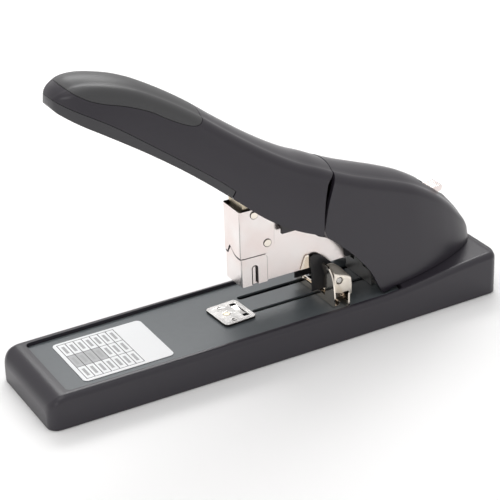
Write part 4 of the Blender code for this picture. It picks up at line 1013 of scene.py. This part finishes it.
def make_handle():
    """Moulded handle shell, the rubber grip let into it, and the charcoal underside cover and its tongues."""
    upper = shell(loft("handle_body", handle_rings(), cap_first=True), SHELL)
    over_seam = seam_outline(0) + [(119.2, 102.4), (126, 60), (174.1, 60)]
    over_seam += smooth(HANDLE_REAR_EDGE, 4) + [(190, 220), (10, 220)]
    trim(upper, over_seam)
    proud, deep = 0.6, 1.5
    layer = shell(loft("grip_layer", handle_rings(-proud), cap_first=True), proud + deep)
    trim(layer, grip_outline(0))
    boolean(upper, layer)
    finish_piece(upper, BLACK, "black_plastic", "handle", "handle_shell", edge=0.25, angle=45)

    grip = shell(loft("grip_pad", handle_rings(), cap_first=True), 1.2)
    trim(grip, grip_outline(GAP))
    finish_piece(grip, GRIP, "grey_rubber", "handle", "handle_grip", edge=0.3, angle=45)

    under = handle_solid("handle_belly")
    under_seam = seam_outline(GAP)[:-1] + [(120.7, 105.6), (118.5, 102.8), (112, 92), (10, 92)]
    trim(under, under_seam)
    boolean(under, handle_solid("belly_hollow", SHELL))
    finish_piece(under, UNDER, "black_plastic", "handle", "handle_underside")
    tongue = [(115.5, 105.6), (115.5, 110), (125, 110), (125, 98), (119, 102.6)]
    for name, low, high in each_side(18.6, 20.0):
        plate = slab("belly_tongue_" + name, SIDE, [tongue], low, high)
        finish_piece(plate, UNDER, "black_plastic", "handle")


def make_levers():
    """The two steel levers inside the handle, from the pivot to the drive pin and the cross bolt."""
    outline = [
        (PIVOT_X + 8, PIVOT_Z - 8, 8),
        (PIVOT_X + 8, PIVOT_Z + 8, 8),
        (200, 80, 8),
        (156, 110, 6),
        (129, 125.5, 4),
        (121, 119, 4),
        (141, 98.5, 6),
        (154.8, 88, 3),
        (154.8, 66.4, 0),
        (184, 66.4, 6),
        (PIVOT_X - 8, PIVOT_Z - 8, 8),
    ]
    holes = [circle(PIVOT_X, PIVOT_Z, PIVOT_RADIUS + GAP)]
    holes += [circle(DRIVE_PIN_X, DRIVE_PIN_Z, DRIVE_PIN_RADIUS + GAP), circle(128, 121, 2.3)]
    for name, low, high in each_side(LEVER_INNER, LEVER_OUTER, "left", "right"):
        lever = slab("press_lever_" + name, SIDE, [rounded(outline), *holes], low, high)
        finish_piece(lever, DARK_STEEL, "steel", "handle", "handle_lever_" + name, edge=0.2)


# ---------------------------------------------------------------- paper guide


def make_guide():
    """Plated guide: cross channel, curved near blade, far ear, post and foot; and its black fork."""
    low, high, sheet = PLATE_TOP + GAP, 21.9, 0.9
    front, rear = GUIDE_X, GUIDE_X + 4.6
    blade = [(-25.5, low), (-26.2, 23.2), (-25.9, 27.7), (-25, 32.8), (-23, 37.4), (-20.2, 40.2), (-18.4, 41.4)]
    wall = smooth(blade, 4) + [(-12.9, 41.4), (-12.8, 40.3), (-14.6, 38.4), (-16.6, 35.0)]
    wall += [(-16.0, high), (10.6, high), (11.4, 25.6), (15.9, 25.6), (15.9, low)]
    carriage = slab("guide_frame", FRONT, [wall], front, front + sheet)
    section = [(front + 0.4, low), (rear, low), (rear, high - 1.6), (rear - sheet, high - 1.6)]
    section += [(rear - sheet, low + 0.8), (front + 0.4, low + 0.8)]
    boolean(carriage, slab("guide_floor", SIDE, [section], -25.2, 15.6), "UNION")
    post = [(-10.6, low + 0.3), (-10.6, 31.6), (-11.4, 32.0), (-15.6, 32.0), (-15.6, low + 0.3)]
    boolean(carriage, slab("guide_post", FRONT, [post], front + 2.2, front + 3.1), "UNION")
    foot_floor = box("guide_foot_floor", (rear - 0.4, 187.6), (-17.0, -13.6), (low + 0.05, low + 0.75))
    boolean(carriage, foot_floor, "UNION")
    foot = [(-13.4, low), (-30, low), (-30.2, 27.9), (-28.4, 28.2), (-24.2, 25.6), (-23.6, 23.2), (-13.4, 21.8)]
    boolean(carriage, slab("guide_foot", FRONT, [foot], 187.0, 188.1), "UNION")
    for y in (FAR_SLOT_Y, NEAR_SLOT_Y):
        boolean(carriage, cylinder("stud_cutter", (182.4, y, 10), (182.4, y, 19.5), 1.4))
    finish_piece(carriage, SHINY, "nickel", "guide", "guide_carriage", edge=0.13)

    roof = [(176.6, 46.2), (179.6, 45.8), (182.2, 44.2), (185.0, 41.6), (188.4, 38.2), (191.4, 33.6)]
    dome = [(175.2, 23), (175.2, 36), (174.4, 39), (174.4, 45.2), *smooth(roof, 4), (191.4, 23)]
    fork = strap("magazine_fork", (185.2, 191.2), 22.3, 23.3, dome, ARM_OUTER + 1.1, 0.9)
    finish_piece(fork, INNER, "black_plastic", "guide", "guide_fork", edge=0.2)


LOCK_X, LOCK_Z, LOCK_FLANK = 185.8, 32.6, -22.6
LOCK_CAP = [
    # x, height on the far side, height on the near side
    (182.3, 40.6, 38.0),
    (184.6, 40.7, 36.8),
    (187.0, 40.0, 35.8),
    (189.4, 38.2, 35.0),
    (191.8, 35.7, 34.0),
    (193.6, 33.4, 32.8),
]


def make_lock():
    """Lock lever: plated cap that curves down to the rear over a flank with a round hole; and its pin."""
    rings = []
    for x, far, near in smooth(LOCK_CAP, 4):
        across = [(-13.2, far - 1.6), (-14.2, far - 0.3), (-16.5, far), (-19.5, near + (far - near) * 0.45)]
        across += [(-22.0, near + 0.35), (LOCK_FLANK - 0.2, near - 0.5), (LOCK_FLANK - 0.35, near - 2.2)]
        rings.append([(x, y, z) for y, z in reversed(smooth(across, 3))])
    cap = shell(loft("lock_lever", rings), 0.8)
    flank = [
        (182.3, 26.0, 1),
        (186.2, 24.4, 0.6),
        (193.8, 21.6, 1),
        (194.0, 28, 0),
        (193.6, 31.4, 0),
        (189.4, 33.6, 0),
        (182.3, 36.4, 0),
    ]
    plate = slab("lock_flank", SIDE, [rounded(flank, 5)], LOCK_FLANK - 0.27, LOCK_FLANK + 0.57)
    boolean(cap, plate, "UNION")
    boolean(cap, cylinder("lock_hole_cutter", (LOCK_X, -30, LOCK_Z), (LOCK_X, -20, LOCK_Z), 2.3))
    finish_piece(cap, LOCK_CAP_LOOK, "nickel", "guide_lock", "guide_lock_lever", edge=0.12)
    profile = [(0, 1.3), (0.25, 1.7), (0.4, 1.75), (4.4, 1.75)]
    pin = turned("lock_pin", (LOCK_X, LOCK_FLANK - 0.1, LOCK_Z), (0, 1, 0), profile)
    finish_piece(pin, PIN_STEEL, "steel", "guide", "guide_lock_pin")


# ---------------------------------------------------------------- carried-over CAD nodes

CARRIED = (
    # look, starts of the names of the nodes that wear it
    (STEEL, ("bottom_cover", "spring_seat", "driver_spring_shelf", "driver_blade")),
    (STEEL, ("magazine_rail", "guide_keeper")),
    (PIN_STEEL, ("pivot_pin", "release_pin", "pusher_rod", "drive_pin", "bracket_rivet_", "guide_stud_")),
    (SPRING, ("pivot_clip_", "pusher_spring")),
    (NICKEL, ("staple_strip", "guide_lock_upright")),
    (INNER, ("staple_pusher",)),
    (DARK_STEEL, ("lever_cross_bolt",)),
    (ZINC, ("anvil_rivet", "cover_screw_", "housing_screw_")),
    (RUBBER, ("foot_",)),
)


def make_springs():
    """The two upright coil springs, as copies of their CAD nodes."""
    for node, body, joint, foot, keep in (
        ("driver_spring", "magazine_arm", "driver_slide", 66.5, 0.49),
        ("arm_return_spring", "base", "arm_press", 20.1, 0.72),
    ):
        source = frame["nodes"][node]
        coil = new_object(node + "_coil", source.data.copy())
        coil.matrix_world = source.matrix_world.copy()
        finish_piece(coil, SPRING, "spring_steel", body, node)
        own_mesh(coil)


def dress_carried():
    """Smooth shading and a look for the CAD nodes that are shown as they are."""
    for name, obj in frame["nodes"].items():
        for look, starts in CARRIED:
            if name.startswith(starts):
                obj.data.shade_smooth()
                obj.data.set_sharp_from_angle(angle=math.radians(35))
                obj.data.materials.clear()
                obj.data.materials.append(look)


# ---------------------------------------------------------------- camera, floor and light


def make_camera():
    """A long lens looking down on the near side from the front."""
    place = (-0.41187, -0.74528, 0.49079)
    turn, tilt, roll = math.radians(-28.68), math.radians(27.155), math.radians(-1.909)
    back = Vector((math.sin(turn) * math.cos(tilt), -math.cos(turn) * math.cos(tilt), math.sin(tilt)))
    right = Vector((math.cos(turn), math.sin(turn), 0))
    up = back.cross(right)
    across = right * math.cos(roll) + up * math.sin(roll)
    upward = up * math.cos(roll) - right * math.sin(roll)
    camera = bpy.data.objects.new("camera", bpy.data.cameras.new("camera"))
    bpy.context.scene.collection.objects.link(camera)
    rows = list(zip(across, upward, back, place))
    camera.matrix_world = Matrix((*rows, (0, 0, 0, 1)))
    camera.data.lens = 122.04
    camera.data.sensor_width = 36
    camera.data.clip_start = 0.01
    bpy.context.scene.camera = camera


def area_light(name, place, target, size, power):
    data = bpy.data.lights.new(name, "AREA")
    data.shape = "RECTANGLE"
    data.size, data.size_y = size
    data.energy = power
    light = bpy.data.objects.new(name, data)
    bpy.context.scene.collection.objects.link(light)
    light.location = place
    light.rotation_euler = (Vector(target) - Vector(place)).to_track_quat("-Z", "Y").to_euler()


def make_studio():
    """White floor, a world that is brighter overhead than at the horizon, and three soft lights."""
    bpy.context.scene.view_settings.view_transform = "Standard"
    edit = bmesh.new()
    bmesh.ops.create_grid(edit, x_segments=1, y_segments=1, size=4.0)
    floor = built("floor", edit)
    look = Look("floor_white", (0.92, 0.92, 0.92), 0.7)
    look.vary_colour(look.noise(3, 1), 0.004)
    floor.data.materials.append(look.material)
    world = bpy.data.worlds.new("studio")
    world.use_nodes = True
    tree = world.node_tree
    sky = tree.nodes["Background"]
    place = tree.nodes.new("ShaderNodeTexCoord")
    apart = tree.nodes.new("ShaderNodeSeparateXYZ")
    height = tree.nodes.new("ShaderNodeMapRange")
    height.interpolation_type = "SMOOTHSTEP"
    set_inputs(height, {"From Min": 0.0, "From Max": 0.75, "To Min": 0.7, "To Max": 0.78})
    tree.links.new(place.outputs["Generated"], apart.inputs["Vector"])
    tree.links.new(apart.outputs["Z"], height.inputs["Value"])
    tree.links.new(height.outputs["Result"], sky.inputs["Strength"])
    set_inputs(sky, {"Color": (1, 0.99, 0.985, 1)})
    bpy.context.scene.world = world
    area_light("overhead", (-0.1, 0.1, 1.5), (0, 0, 0), (1.4, 0.9), 4.6)
    area_light("behind", (0.3, 0.75, 0.85), (0, 0, 0.1), (0.9, 0.35), 5.5)
    area_light("front", (-1.1, -0.7, 0.75), (0, 0, 0.08), (0.6, 0.4), 1.6)


make_tray()
make_bed()
make_anvil()
make_bracket()
make_housing()
make_arm()
make_head()
make_driver()
make_magazine()
make_arm_fittings()
make_release()
make_handle()
make_levers()
make_guide()
make_lock()
make_springs()
dress_carried()
make_camera()
make_studio()
